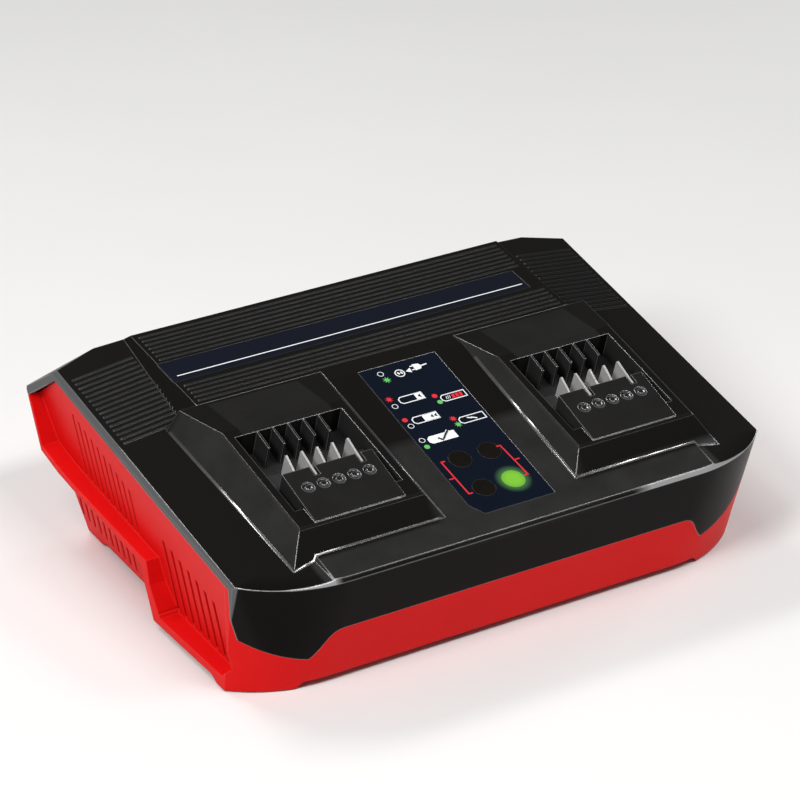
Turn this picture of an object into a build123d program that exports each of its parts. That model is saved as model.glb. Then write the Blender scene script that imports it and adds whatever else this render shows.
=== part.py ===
"""Twin-bay battery charger: a black cover with two raised bays on a red vented base."""

from build123d import *
from math import atan, cos, degrees, radians, sin, tan
import os

# ---------------------------------------------------------------- driving sizes (mm)
# housing
WIDTH = 280.0              # over the side faces
DEPTH = 206.0              # front crease to rear face
HALF = WIDTH / 2
FRONT_Y = -DEPTH / 2
REAR_Y = DEPTH / 2
WALL = 2.5                 # moulded wall of both housing halves
SHOULDER_Z = 61.6          # height of the front crease
FRONT_LEAN = 0.276         # the front face comes forward this much per mm of height
REAR_LEAN = 0.349
SIDE_LEAN = 0.065
WALL_TOP_Z = 70.0          # the walls lean outwards up to here
CORNER_X = 92.0            # where the straight front ends and the corner begins
CORNER_DROP = 20.0         # how far the corner runs back to the side face
REAR_BEND = 2.5            # bevel of the upright rear corners
OVER_Z = 140.0             # above everything, for the shapes that cut

# clearances
PARTING_GAP = 0.15         # line between cover and base, and around a bay
FLUSH_GAP = 0.1            # around a plate set in a recess
SEAT_GAP = 0.05            # between faces that rest on each other
RUNNING_GAP = 0.05         # around the fan's shaft

# wings and raised middle of the top
WING_SLOPE = 0.197         # rise of the side edge towards the rear
WING_Z = 76.7              # side edge height at y = 0
WING_TILT = 0.123          # rise of a wing towards the middle
PLATEAU_X = 100.0          # half width of the raised middle
PLATEAU_FLANK = 1.0        # run of the middle's side slope per mm of height
PLATEAU_SLOPE = 0.2558
BREAK_Y = 8.0              # behind this line the middle flattens out
BREAK_Z = SHOULDER_Z + PLATEAU_SLOPE * (BREAK_Y - FRONT_Y)
RIDGE_Y = 75.0             # rear top edge
RIDGE_Z = 98.6
TOP_BEVEL = 1.6            # bevel along the front and side edges of the top
BEVEL_RUN = 0.577
CORNER_EDGE = (73.3, 91.1)     # slanting rear corner: y and z where it meets the side edge
CORNER_RIDGE = (113.0, 80.5, 95.0)
RIB_PITCH = 3.15           # fine ribs of the top
RIB_WIDTH = 1.1
RIB_HEIGHT = 0.55
MIDDLE_RIBS = 18
MIDDLE_RIBS_Y = 18.0
MIDDLE_RIB_END = 2.5       # from the middle's edge
WING_RIBS = 16
WING_RIBS_Y = 17.0
WING_RIB_LENGTH = 31.0
WING_RIB_END = 4.5         # from the side face

# bays
BAY_X = 72.5               # centre of each bay from the middle plane
BAY_ANGLE = degrees(atan(0.2309))
BAY_FRONT_Y = -78.5        # top front edge of the bay
BAY_FRONT_Z = 76.3
BAY_HALF = 31.4            # half width of the bay's top
BAY_FLANK = 0.73           # outward run of a bay flank per mm of depth
BAY_NOSE_RUN = 8.5         # the bay's front face leans back this much
BAY_NOSE_DROP = 12.0
EDGE_BREAK = 0.7           # small bevel on the bays' edges
SHELF_END_Y = 15.0         # rear end of the level shelf behind the contacts
RAIL_END_Y = -13.0
FLANGE = 1.8               # flange that joins a bay to the cover from below
FLANGE_REACH = 2.0
POCKET_HALF = 27.3         # half width of the contact pocket between the rails
CHANNEL = 4.4              # width of the pack's rail channels beside the block
CHANNEL_START = 10.8       # channels begin this far behind the bay's front edge
BLOCK_LENGTH = 30.3
BLOCK_LOW = 0.45           # the block's front edge over the rails
BLOCK_RISE = 3.4           # its rear edge over the rails
POCKET_END = 62.5
POCKET_DEPTH = 13.0
POCKET_WALL = 2.0
DIMPLE_RADIUS = 2.9
DIMPLE_CORE = 1.4
BAY_DIMPLE = 19.8          # the row of dimples on the block, from its front edge

# contacts of each bay, lengths along the bay from its front edge
CONTACTS = 5
CONTACT_PITCH = 7.8
LONG_CONTACTS = (1, 4)     # these reach into notches of the block
BLADE = 0.9                # sheet thickness of a contact
BLADE_TOP = 4.9
BLADE_FOOT = -9.0
TAIL_FRONT = 33.5
TAIL_REAR = 37.5
TAIL_END = -19.0
COMB_FRONT = 31.0
COMB_REAR = 41.0
COMB_TOP = -6.5
CARRIER = 2.4
CARRIER_TOP = -POCKET_DEPTH - SEAT_GAP

# parting line of cover and base
BAND = 4.0                 # height of the cover's side band
SKIRT_Z = 32.0             # lower edge of the cover at the middle of the front
SKIRT_DIP_Z = 17.5         # and at the lowest point of its front corners
SKIRT_END_Z = 35.0
DIP_X = 105.0
SHELF_X = 90.0
SKIRT_BACK_Y = -79.0       # the front skirt reaches back to here
REAR_BAND_Z = 65.0

# display strip, lamps and name strip
PLATE_HALF = 20.5
PLATE_LOW = -101.5
PLATE_HIGH = -0.5
PLATE_CUT = 7.0
PLATE = 1.4
LAMP_X = 7.8
LAMP_V = (-67.3, -87.1)
LAMP_RADIUS = 5.4
NAME_LEFT = -100.0
NAME_RIGHT = 92.0
NAME_LOW = 27.0
NAME_HIGH = 42.4
NAME_PLATE = 0.6
DISPLAY_BOARD_DEPTH = 9.0
DISPLAY_BOARD_HALF = 15.0
DISPLAY_BOARD_LOW = -97.0
DISPLAY_BOARD_HIGH = -8.0
DISPLAY_POSTS = (-94.4, -12.0)     # along the strip, on its middle line
DISPLAY_POST_RADIUS = 2.2

# side grilles of the base
RIM = 4.6                  # width of the rim around a side grille
GRILLE_LEAN = 0.21         # the grille wall runs inwards towards the bottom
GRILLE_TOP_INSET = 1.0
GRILLE_FRONT_Y = -76.0
GRILLE_REAR_Y = 97.0
STEP_Y = -8.5              # where the rim steps up from the front to the rear grille
RIM_LOW_Z = 7.5            # upper face of the rim below the front grille
LEDGE_Z = 33.0             # upper face of the rim below the rear grille, at y = 0
REAR_SLOTS = 10
REAR_SLOT_Y = 13.3
REAR_SLOT_PITCH = 5.5
FRONT_SLOTS = 7
FRONT_SLOT_Y = -58.5
FRONT_SLOT_PITCH = 7.3
INTAKE_SLOTS = 10
INTAKE_SLOT_Y = 27.0
INTAKE_SLOT_PITCH = 5.9

# floor, feet and screws
BASE_FLOOR_Z = 4.0         # underside of the base between the feet
FLOOR = 2.5
FOOT_X = 108.0             # inner end of a moulded foot
FOOT_Y = 60.0              # feet lie beyond this distance from the middle
FOOT_GAP = 0.8             # the moulded foot stops short of the ground, the pad reaches it
PAD_PLACES = [(114.5, -74), (113, 69)]
PAD_RADIUS = 5.0
PAD_RECESS = 0.8
BOLT_PLACES = [(120, -66), (106, 58), (23, -79)]
BOLT_RADIUS = 1.5
BOLT_HOLE = 1.8
HEAD_RADIUS = 3.1
HEAD_HEIGHT = 2.4
HEAD_SEAT_Z = 9.0
POST_LOW_Z = 22.0          # where the cover's posts meet the base's tubes
POST_RADIUS = 4.2
PILOT_RADIUS = 1.55
TUBE_RADIUS = 5.2

# cord gland
GLAND_X = 60.0
GLAND_Z = 25.0
GLAND_RADIUS = 6.0
GLAND_BORE = 3.4
GLAND_FACE_Y = REAR_Y - 12.0
GLAND_PAD = 24.0

# main board and what it carries
BOARD_Z = 16.0
BOARD = 1.6
SEAT_Z = BOARD_Z + BOARD + SEAT_GAP
BOARD_HALF = 96.0
BOARD_FRONT = -58.0
BOARD_REAR = 50.0
BOARD_BOLTS = [(88, -50), (88, 42)]
STANDOFF_RADIUS = 3.2
SMALL_HEAD = 2.0
SMALL_SHANK = 1.0
SMALL_PILOT = 1.05
SMALL_HOLE = 1.3
CORE = (42.0, 16.0, 36.0)  # transformer core: width, depth, height
CORE_PLACE = (-20.0, 5.0)
CORE_LEG = 11.0
WINDOW = (24.0, 24.0)

# fan behind the left grille
FAN_X = 24.0 - HALF
FAN_Y = -38.0
FAN_SIZE = 40.0
FAN_DEPTH = 11.0
FAN_Z = BASE_FLOOR_Z + FLOOR + SEAT_GAP + FAN_SIZE / 2
FAN_BORE = 18.6
FAN_BLADES = 7
BLADE_GAP = 1.0
HUB = 8.0
SHAFT = 1.5
GUIDE = 1.6

os.makedirs("parts", exist_ok=True)


def both_sides(places):
    """The (x, y) places and their mirror images across the middle."""
    return [(side * x, y) for x, y in places for side in (-1, 1)]


def band_z(y):
    """Lower edge of the cover's side band."""
    return WING_Z + WING_SLOPE * y - BAND


# ---------------------------------------------------------------- outer shape
def plan_face(z, inset, setback=0.0):
    """Plan outline of the housing at a height, moved inwards by inset."""
    front = FRONT_Y + FRONT_LEAN * (SHOULDER_Z - z) + inset + setback
    rear = REAR_Y - REAR_LEAN * (WALL_TOP_Z - z) - inset
    side = HALF - SIDE_LEAN * (WALL_TOP_Z - z) - inset
    bend = CORNER_X - 0.35 * inset
    turn = front + CORNER_DROP * (0.8 + 0.2 * z / SHOULDER_Z) - 0.2 * inset
    swell = (bend + 0.58 * (side - bend), front + 0.3 * (turn - front))
    with BuildSketch(Plane.XY.offset(z)) as face:
        with BuildLine():
            Line((bend, front), (-bend, front))
            ThreePointArc((-bend, front), (-swell[0], swell[1]), (-side, turn))
            Polyline((-side, turn), (-side, rear - REAR_BEND), (-side + REAR_BEND, rear))
            Line((-side + REAR_BEND, rear), (side - REAR_BEND, rear))
            Polyline((side - REAR_BEND, rear), (side, rear - REAR_BEND), (side, turn))
            ThreePointArc((side, turn), swell, (bend, front))
        make_face()
    return face.sketch


def plan_solid(inset):
    """Walls that lean outwards up to the rear face's top, upright above it."""
    low = plan_face(0, inset)
    high = plan_face(WALL_TOP_Z, inset)
    bevel_z = SHOULDER_Z - TOP_BEVEL
    bevel_low = plan_face(bevel_z, inset)
    bevel_high = plan_face(bevel_z + 50, inset, 50 * (FRONT_LEAN + BEVEL_RUN))
    below = plan_face(0, inset)
    with BuildPart() as walls:
        add(low)
        add(high)
        loft(ruled=True)
        extrude(high, amount=RIDGE_Z)
    with BuildPart() as bevelled:
        add(below)
        add(bevel_low)
        loft(ruled=True)
        add(bevel_low)
        add(bevel_high)
        loft(ruled=True)
    return walls.part & bevelled.part


def prism_along(points, direction, length, start=(0, 0, 0), both=True):
    """A face in the XZ plane pushed along a sloping direction."""
    with BuildPart() as prism:
        with BuildSketch(Plane(origin=start, x_dir=(1, 0, 0), z_dir=(0, -1, 0))):
            with BuildLine():
                Polyline(points, close=True)
            make_face()
        extrude(amount=length, dir=direction, both=both)
    return prism.part


def side_prism(points, half_width, x=0.0):
    """A side view (y, z) pushed out to both sides."""
    with BuildPart() as prism:
        with BuildSketch(Plane.YZ.offset(x)):
            with BuildLine():
                Polyline(points, close=True)
            make_face()
        extrude(amount=half_width, both=True)
    return prism.part


def land_solid(drop):
    """Everything below the wings and the raised middle, lowered by drop."""
    edge = WING_Z - drop
    knee = PLATEAU_X - 2
    inner = edge + WING_TILT * (HALF - knee)
    bevel_x = HALF - TOP_BEVEL
    bevel_z = edge + WING_TILT * TOP_BEVEL
    wing_line = [(-bevel_x - 20, -200), (-bevel_x - 20, bevel_z - 22), (-bevel_x, bevel_z)]
    wing_line += [(-knee, inner), (8 - knee, inner - 8), (knee - 8, inner - 8), (knee, inner)]
    wing_line += [(bevel_x, bevel_z), (bevel_x + 20, bevel_z - 22), (bevel_x + 20, -200)]

    top = PLATEAU_X - 0.4 * drop
    foot = top + 90 * PLATEAU_FLANK
    middle = [(-foot, -90), (-top, 0), (top, 0), (foot, -90)]
    start = (0, BREAK_Y, BREAK_Z - drop)
    rear_rise = (RIDGE_Z - BREAK_Z) / (RIDGE_Y - BREAK_Y)
    with BuildPart() as land:
        add(prism_along(wing_line, (0, 1, WING_SLOPE), 130))
        add(prism_along(middle, (0, 1, rear_rise), 130, start, both=False))
        add(prism_along(middle, (0, -1, -PLATEAU_SLOPE), 130, start, both=False))
    return land.part


def bay_solid(side, drop):
    """The wedge of one bay, its faces moved inwards by drop and its flanks run on below."""
    draw_in = 0.52 * drop
    rise = tan(radians(BAY_ANGLE))
    rail_z = BAY_FRONT_Z + rise * (RAIL_END_Y - BAY_FRONT_Y)
    shelf_z = BREAK_Z + 0.128 * (SHELF_END_Y - BREAK_Y)
    back = SHELF_END_Y - min(drop, 0)
    bay_line = [
        (BAY_FRONT_Y - 2 * BAY_NOSE_RUN + draw_in, BAY_FRONT_Z - 2 * BAY_NOSE_DROP - drop),
        (BAY_FRONT_Y + draw_in - EDGE_BREAK * 0.7, BAY_FRONT_Z - drop - EDGE_BREAK),
        (BAY_FRONT_Y + draw_in + EDGE_BREAK, BAY_FRONT_Z - drop + rise * (draw_in + EDGE_BREAK)),
        (RAIL_END_Y, rail_z - drop),
        (back, shelf_z - drop),
        (back + 1, 30),
    ]
    bay_flank = [
        (-BAY_HALF - 30 * BAY_FLANK + draw_in, -30 - drop),
        (-BAY_HALF - EDGE_BREAK * BAY_FLANK + draw_in, -EDGE_BREAK - drop),
        (-BAY_HALF + EDGE_BREAK + draw_in, 0.3 * EDGE_BREAK - drop),
        (-BAY_HALF + 9 + draw_in, 4 - drop),
        (BAY_HALF - 9 - draw_in, 4 - drop),
        (BAY_HALF - EDGE_BREAK - draw_in, 0.3 * EDGE_BREAK - drop),
        (BAY_HALF + EDGE_BREAK * BAY_FLANK - draw_in, -EDGE_BREAK - drop),
        (BAY_HALF + 30 * BAY_FLANK - draw_in, -30 - drop),
    ]
    start = (side * BAY_X, BAY_FRONT_Y, BAY_FRONT_Z)
    sides = prism_along(bay_flank, (0, 1, rise), 140, start)
    return side_prism(bay_line, BAY_HALF + 25, side * BAY_X) & sides


def roof_solid(drop):
    """Everything below the top surface with its bays, lowered and drawn in by drop."""
    with BuildPart() as roof:
        add(land_solid(drop))
        for side in (-1, 1):
            add(bay_solid(side, drop))
    return roof.part


def corner_plane(side, inset):
    """The slanting face across a rear top corner."""
    edge = Vector(side * HALF, *CORNER_EDGE)
    ridge = Vector(side * CORNER_RIDGE[0], *CORNER_RIDGE[1:])
    foot = Vector(side * HALF, REAR_Y, WALL_TOP_Z)
    normal = (ridge - edge).cross(foot - edge).normalized()
    if normal.Z < 0:
        normal = normal * -1
    return Plane(origin=edge - normal * inset, z_dir=normal)


def shell_solid(inset):
    """The whole housing's outer form, moved inwards by inset."""
    rear_line = [
        (FRONT_Y - 10, -1),
        (FRONT_Y - 10, OVER_Z),
        (RIDGE_Y - 40, RIDGE_Z + 40 * 1.02 - 1.43 * inset),
        (RIDGE_Y, RIDGE_Z - 1.43 * inset),
        (REAR_Y + 10, WALL_TOP_Z - 10 * 1.02 - 1.43 * inset),
        (REAR_Y + 10, -1),
    ]
    with BuildPart() as shell:
        add(plan_solid(inset))
        add(roof_solid(inset * 1.04), mode=Mode.INTERSECT)
        add(side_prism(rear_line, HALF + 5), mode=Mode.INTERSECT)
        for side in (-1, 1):
            split(bisect_by=corner_plane(side, inset), keep=Keep.BOTTOM)
    return shell.part


outer_form = shell_solid(0)
inner_form = shell_solid(WALL)


# ---------------------------------------------------------------- parting of cover and base


def cover_region(drop):
    """Space taken by the cover; a drop opens the parting line for the base."""
    with BuildPart() as region:
        with BuildSketch(Plane.XZ.offset(-SKIRT_BACK_Y)):
            with BuildLine():
                for side in (-1, 1):
                    Polyline(
                        (side * (HALF + 10), OVER_Z),
                        (side * (HALF + 10), SKIRT_END_Z + 3 - drop),
                        (side * HALF, SKIRT_END_Z - drop),
                    )
                    ThreePointArc(
                        (side * HALF, SKIRT_END_Z - drop),
                        (side * (DIP_X + 17), SKIRT_DIP_Z + 6 - drop),
                        (side * DIP_X, SKIRT_DIP_Z - drop),
                    )
                    Spline(
                        (side * DIP_X, SKIRT_DIP_Z - drop),
                        (side * (DIP_X - 6), SKIRT_DIP_Z + 8 - drop),
                        (side * SHELF_X, SKIRT_Z - drop),
                        tangents=((-side * 0.6, 0.5), (-side, 0)),
                    )
                Line((-SHELF_X, SKIRT_Z - drop), (SHELF_X, SKIRT_Z - drop))
                Line((-HALF - 10, OVER_Z), (HALF + 10, OVER_Z))
            make_face()
        extrude(amount=60)
        with BuildSketch(Plane.YZ):
            with BuildLine():
                Polyline(
                    (FRONT_Y - 10, band_z(FRONT_Y - 10) - drop),
                    (73, band_z(73) - drop),
                    (REAR_Y, REAR_BAND_Z - drop),
                    (REAR_Y + 10, REAR_BAND_Z - 6 - drop),
                    (REAR_Y + 10, OVER_Z),
                    (FRONT_Y - 10, OVER_Z),
                    close=True,
                )
            make_face()
        extrude(amount=HALF + 10, both=True)
    return region.part


def bay_plane(side, depth=0.0):
    """Plane of a bay's rails: x across, y up the slope from the front edge."""
    tilt = radians(BAY_ANGLE)
    normal = Vector(0, -sin(tilt), cos(tilt))
    origin = Vector(side * BAY_X, BAY_FRONT_Y, BAY_FRONT_Z) + normal * depth
    return Plane(origin=origin, x_dir=(1, 0, 0), z_dir=normal)


def bay_side(side, offset=0.0):
    """Lengthwise section plane of a bay: x up the slope, y away from the rails."""
    tilt = radians(BAY_ANGLE)
    origin = (side * BAY_X + offset, BAY_FRONT_Y, BAY_FRONT_Z)
    return Plane(origin=origin, x_dir=(0, cos(tilt), sin(tilt)), z_dir=(1, 0, 0))


def middle_plane(depth=0.0):
    """Plane of the raised middle: x across, y up the slope from the origin."""
    tilt = atan(PLATEAU_SLOPE)
    normal = Vector(0, -sin(tilt), cos(tilt))
    origin = Vector(0, BREAK_Y, BREAK_Z) + normal * depth
    return Plane(origin=origin, x_dir=(1, 0, 0), z_dir=normal)


def rear_plane(depth=0.0):
    """Plane of the flatter rear half of the raised middle."""
    tilt = atan((RIDGE_Z - BREAK_Z) / (RIDGE_Y - BREAK_Y))
    normal = Vector(0, -sin(tilt), cos(tilt))
    origin = Vector(0, BREAK_Y, BREAK_Z) + normal * depth
    return Plane(origin=origin, x_dir=(1, 0, 0), z_dir=normal)


def contact_places():
    """Contact positions across a bay, from its centre."""
    return [(i - (CONTACTS - 1) / 2) * CONTACT_PITCH for i in range(CONTACTS)]


# ---------------------------------------------------------------- cover


def plate_outline(grow):
    """Display plate outline with its cut corner, grown by a gap."""
    left = -PLATE_HALF - grow
    right = PLATE_HALF + grow
    low = PLATE_LOW - grow
    high = PLATE_HIGH + grow
    cut = PLATE_CUT
    return [(left, high), (right, high), (right, low), (left + cut * 0.6, low), (left, low + cut)]


def rib_profile(y, z):
    """Low trapezoid across a rib, standing on the surface."""
    foot = RIB_WIDTH / 2 + 0.2
    top = 0.3 * RIB_WIDTH
    low, high = z - 0.4, z + RIB_HEIGHT
    return [(y - foot, low), (y - top, high), (y + top, high), (y + foot, low)]


def board_top():
    """Upper face of the main board."""
    return BOARD_Z + BOARD


def posts(places, radius, low, high):
    """Round posts standing at mirrored places."""
    with BuildPart() as group:
        with BuildSketch(Plane.XY.offset(low)):
            with Locations(*both_sides(places)):
                Circle(radius)
        extrude(amount=high - low)
    return group.part


def bay_opening(side, growth, low, high):
    """A bay's outline grown outwards, between two depths below the land around it."""
    slab = land_solid(low) - land_solid(high)
    return bay_solid(side, -growth) & slab


cover_posts = posts(BOLT_PLACES, POST_RADIUS, POST_LOW_Z, RIDGE_Z) & land_solid(0) & plan_solid(0)
roof_wall = 1.04 * WALL
with BuildPart() as cover_form:
    add(land_solid(0) & outer_form & cover_region(0))
    add(inner_form, mode=Mode.SUBTRACT)
    add(cover_posts)
    for side in (-1, 1):
        add(bay_opening(side, PARTING_GAP, -20, roof_wall + 1), mode=Mode.SUBTRACT)

with BuildPart() as top_cover:
    add(cover_form.part)

    # display plate recess with its lamp windows, and the posts of the board below
    with BuildSketch(middle_plane()):
        with BuildLine():
            Polyline(plate_outline(FLUSH_GAP), close=True)
        make_face()
    extrude(amount=-(PLATE + SEAT_GAP), mode=Mode.SUBTRACT)
    with BuildSketch(middle_plane()):
        for v in LAMP_V:
            with Locations((-LAMP_X, v), (LAMP_X, v)):
                Circle(LAMP_RADIUS + FLUSH_GAP)
    extrude(amount=-DISPLAY_BOARD_DEPTH, mode=Mode.SUBTRACT)
    with BuildSketch(middle_plane(-DISPLAY_BOARD_DEPTH)):
        with Locations(*[(0, v) for v in DISPLAY_POSTS]):
            Circle(DISPLAY_POST_RADIUS)
    extrude(amount=DISPLAY_BOARD_DEPTH - PLATE - 0.6)
    with BuildSketch(middle_plane(-DISPLAY_BOARD_DEPTH)):
        with Locations(*[(0, v) for v in DISPLAY_POSTS]):
            Circle(SMALL_PILOT)
    extrude(amount=5.5, mode=Mode.SUBTRACT)

    # name plate recess
    with BuildSketch(rear_plane()):
        with Locations(((NAME_LEFT + NAME_RIGHT) / 2, (NAME_LOW + NAME_HIGH) / 2)):
            Rectangle(NAME_RIGHT - NAME_LEFT + 2 * FLUSH_GAP, NAME_HIGH - NAME_LOW + 2 * FLUSH_GAP)
    extrude(amount=-(NAME_PLATE + SEAT_GAP), mode=Mode.SUBTRACT)

    # fine ribs across the raised middle, left out under the name plate
    slope = (RIDGE_Z - BREAK_Z) / (RIDGE_Y - BREAK_Y)
    plate_from = BREAK_Y + NAME_LOW * cos(atan(slope)) - 1.6
    plate_to = BREAK_Y + NAME_HIGH * cos(atan(slope)) + 1.6
    rib_half = PLATEAU_X - MIDDLE_RIB_END
    with BuildSketch(Plane.YZ.offset(-rib_half)):
        for i in range(MIDDLE_RIBS):
            y = MIDDLE_RIBS_Y + i * RIB_PITCH
            if not plate_from < y < plate_to:
                with BuildLine():
                    Polyline(rib_profile(y, BREAK_Z + slope * (y - BREAK_Y)), close=True)
                make_face()
    extrude(amount=2 * rib_half)

    # and across the two wings, following their tilt
    for side in (-1, 1):
        with BuildSketch(Plane.YZ.offset(side * (HALF - WING_RIB_END))):
            for i in range(WING_RIBS):
                y = WING_RIBS_Y + i * RIB_PITCH
                z = WING_Z + WING_SLOPE * y + WING_TILT * WING_RIB_END
                with BuildLine():
                    Polyline(rib_profile(y, z), close=True)
                make_face()
        extrude(amount=WING_RIB_LENGTH, dir=(-side, 0, WING_TILT))

    with BuildSketch(Plane.XY.offset(POST_LOW_Z)):
        with Locations(*both_sides(BOLT_PLACES)):
            Circle(PILOT_RADIUS)
    extrude(amount=14, mode=Mode.SUBTRACT)

top_cover.part.label = "top_cover"
export_step(top_cover.part, "parts/top_cover.step")


# ---------------------------------------------------------------- bays
pocket_width = 2 * (POCKET_HALF + POCKET_WALL)
pocket_length = POCKET_END - CHANNEL_START + 2 * POCKET_WALL
block_half = POCKET_HALF - CHANNEL
block_tilt = (BLOCK_RISE - BLOCK_LOW) / (BLOCK_LENGTH - 1.2)


def dimple_plane(side):
    """Upper face of a bay's block, at the row of dimples."""
    tilt = radians(BAY_ANGLE) + block_tilt
    height = BLOCK_LOW + block_tilt * (BAY_DIMPLE - 1.2)
    centre = bay_plane(side).from_local_coords((0, BAY_DIMPLE, height))
    return Plane(origin=centre, x_dir=(1, 0, 0), z_dir=(0, -sin(tilt), cos(tilt)))


for side, name in ((-1, "left"), (1, "right")):
    flange_top = roof_wall + SEAT_GAP
    flange_low = flange_top + FLANGE
    post_room = posts(BOLT_PLACES, POST_RADIUS + 0.4, 0, RIDGE_Z)
    with BuildPart() as bay:
        add(bay_solid(side, 0) - land_solid(flange_low))
        add(bay_opening(side, FLANGE_REACH, flange_top, flange_low) & plan_solid(WALL + 1))
        add(post_room & land_solid(roof_wall), mode=Mode.SUBTRACT)
        add(bay_solid(side, roof_wall), mode=Mode.SUBTRACT)

        # walls of the contact pocket
        with BuildSketch(bay_plane(side, -POCKET_DEPTH)):
            with Locations((0, (CHANNEL_START + POCKET_END) / 2)):
                Rectangle(pocket_width, pocket_length)
        extrude(amount=POCKET_DEPTH - 1.2)
        # raised block in front of the pocket
        with BuildSketch(bay_side(side, -block_half)):
            with BuildLine():
                Polyline(
                    (1.0, -2),
                    (1.2, BLOCK_LOW),
                    (BLOCK_LENGTH, BLOCK_RISE),
                    (BLOCK_LENGTH, -2),
                    close=True,
                )
            make_face()
        extrude(amount=2 * block_half)
        # pocket behind the block and the two rail channels beside it
        with BuildSketch(bay_plane(side, -POCKET_DEPTH - 1)):
            with Locations((0, (BLOCK_LENGTH + POCKET_END) / 2)):
                Rectangle(2 * POCKET_HALF, POCKET_END - BLOCK_LENGTH)
            channel_x = POCKET_HALF - CHANNEL / 2
            channel_end = BLOCK_LENGTH + 1
            with Locations(*both_sides([(channel_x, (CHANNEL_START + channel_end) / 2)])):
                Rectangle(CHANNEL, channel_end - CHANNEL_START)
        extrude(amount=POCKET_DEPTH + 12, mode=Mode.SUBTRACT)
        # hollow under the block
        with BuildSketch(bay_plane(side, -POCKET_DEPTH - 1)):
            with Locations((0, (CHANNEL_START + BLOCK_LENGTH) / 2)):
                Rectangle(2 * (block_half - POCKET_WALL), BLOCK_LENGTH - CHANNEL_START - 2 * POCKET_WALL)
        extrude(amount=POCKET_DEPTH - 1, mode=Mode.SUBTRACT)
        # dividing ribs on the pocket's rear wall
        for place in contact_places():
            with BuildSketch(bay_side(side, place - 0.55)):
                with BuildLine():
                    Polyline(
                        (POCKET_END + 1, -0.2),
                        (POCKET_END - 10.3, -1.4),
                        (POCKET_END - 10.3, -POCKET_DEPTH),
                        (POCKET_END + 1, -POCKET_DEPTH),
                        close=True,
                    )
                make_face()
            extrude(amount=1.1)
        # notches for the long contacts, and the row of dimples
        for number in LONG_CONTACTS:
            with BuildSketch(bay_side(side, contact_places()[number] - 1.4)):
                with Locations((BLOCK_LENGTH - 1.4, BLOCK_RISE)):
                    Rectangle(8, 6)
            extrude(amount=2.8, mode=Mode.SUBTRACT)
        with BuildSketch(dimple_plane(side)):
            for place in contact_places():
                with Locations((place, 0)):
                    RegularPolygon(DIMPLE_RADIUS, 12)
                    RegularPolygon(DIMPLE_CORE, 12, mode=Mode.SUBTRACT)
        extrude(amount=-0.7, mode=Mode.SUBTRACT)
    bay.part.label = "bay_" + name
    export_step(bay.part, "parts/bay_" + name + ".step")


# ---------------------------------------------------------------- base


def grille_x(z):
    """Outer face of the grille wall at y = 0."""
    return HALF - GRILLE_TOP_INSET - GRILLE_LEAN * (band_z(0) - z)


def grille_side(side, inset, far):
    """Space between the grille wall, moved inwards by inset, and a far side."""
    low, high = -60, 110
    return [
        (side * (grille_x(low) - inset), low),
        (side * (grille_x(high) - inset), high),
        (side * far, high),
        (side * far, low),
    ]


def ledge_z(y):
    """Upper face of the rim below the rear grille."""
    return LEDGE_Z + 0.1 * max(y, 0) + 0.0035 * max(y - 60, 0) ** 2


def slot_face(y, half, low, high):
    """Upright slot in a side view, its top following the side band."""
    with BuildSketch(Plane.XY, mode=Mode.PRIVATE) as face:
        with BuildLine():
            Polyline((y - half, low), (y - half, high), (y + half, high + 0.4), (y + half, low), close=True)
        make_face()
    return face.sketch


def rim_low_z(y):
    """Lower edge of the same rim."""
    return ledge_z(y) - 3.3


recess_outline = [
    (GRILLE_FRONT_Y, band_z(GRILLE_FRONT_Y) + 4),
    (CORNER_EDGE[0], band_z(CORNER_EDGE[0]) + 4),
    (GRILLE_REAR_Y + 3, REAR_BAND_Z + 6),
    (GRILLE_REAR_Y, REAR_BAND_Z),
]
recess_outline += [(y, ledge_z(y)) for y in (90, 75, 60, 30, 0, STEP_Y + 3)]
recess_outline += [
    (STEP_Y + 1.5, ledge_z(0) - 12),
    (STEP_Y - 6.5, RIM_LOW_Z),
    (GRILLE_FRONT_Y + 7, RIM_LOW_Z),
    (GRILLE_FRONT_Y + 1.5, RIM_LOW_Z + 6),
]

intake_outline = [
    (STEP_Y - 3.5, -5),
    (STEP_Y + 1 + RIM, ledge_z(0) - 14),
    (STEP_Y + 3 + RIM, rim_low_z(0)),
]
intake_outline += [(y, rim_low_z(y)) for y in (30, 60, 75, 96)]
intake_outline += [(REAR_Y + 10, rim_low_z(96) + 14), (REAR_Y + 10, -5)]

with BuildPart() as side_recess:
    for side in (-1, 1):
        recess = side_prism(recess_outline, 20, side * HALF)
        intake = side_prism(intake_outline, 20, side * HALF)
        outside = prism_along(grille_side(side, 0, HALF + 20), (0, 1, WING_SLOPE), 150)
        add(recess & outside)
        add(intake & outside)

room_low = grille_side(-1, WALL, HALF + 20)
room_high = grille_side(1, WALL, HALF + 20)
below_floor = [(-HALF, -5), (-HALF, BASE_FLOOR_Z + FLOOR), (HALF, BASE_FLOOR_Z + FLOOR), (HALF, -5)]
with BuildPart() as room:
    add(inner_form)
    add(prism_along(room_low, (0, 1, WING_SLOPE), 150), mode=Mode.SUBTRACT)
    add(prism_along(room_high, (0, 1, WING_SLOPE), 150), mode=Mode.SUBTRACT)
    add(prism_along(below_floor, (0, 1, 0), 150), mode=Mode.SUBTRACT)

between_feet = [
    (-FOOT_X, -5),
    (-FOOT_X, FOOT_GAP),
    (3 - FOOT_X, BASE_FLOOR_Z),
    (FOOT_X - 3, BASE_FLOOR_Z),
    (FOOT_X, FOOT_GAP),
    (FOOT_X, -5),
]
along_feet = [
    (-FOOT_Y - 4, -5),
    (-FOOT_Y - 4, FOOT_GAP),
    (-FOOT_Y, BASE_FLOOR_Z - 0.6),
    (FOOT_Y, BASE_FLOOR_Z - 0.6),
    (FOOT_Y + 4, FOOT_GAP),
    (FOOT_Y + 4, -5),
]

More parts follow.
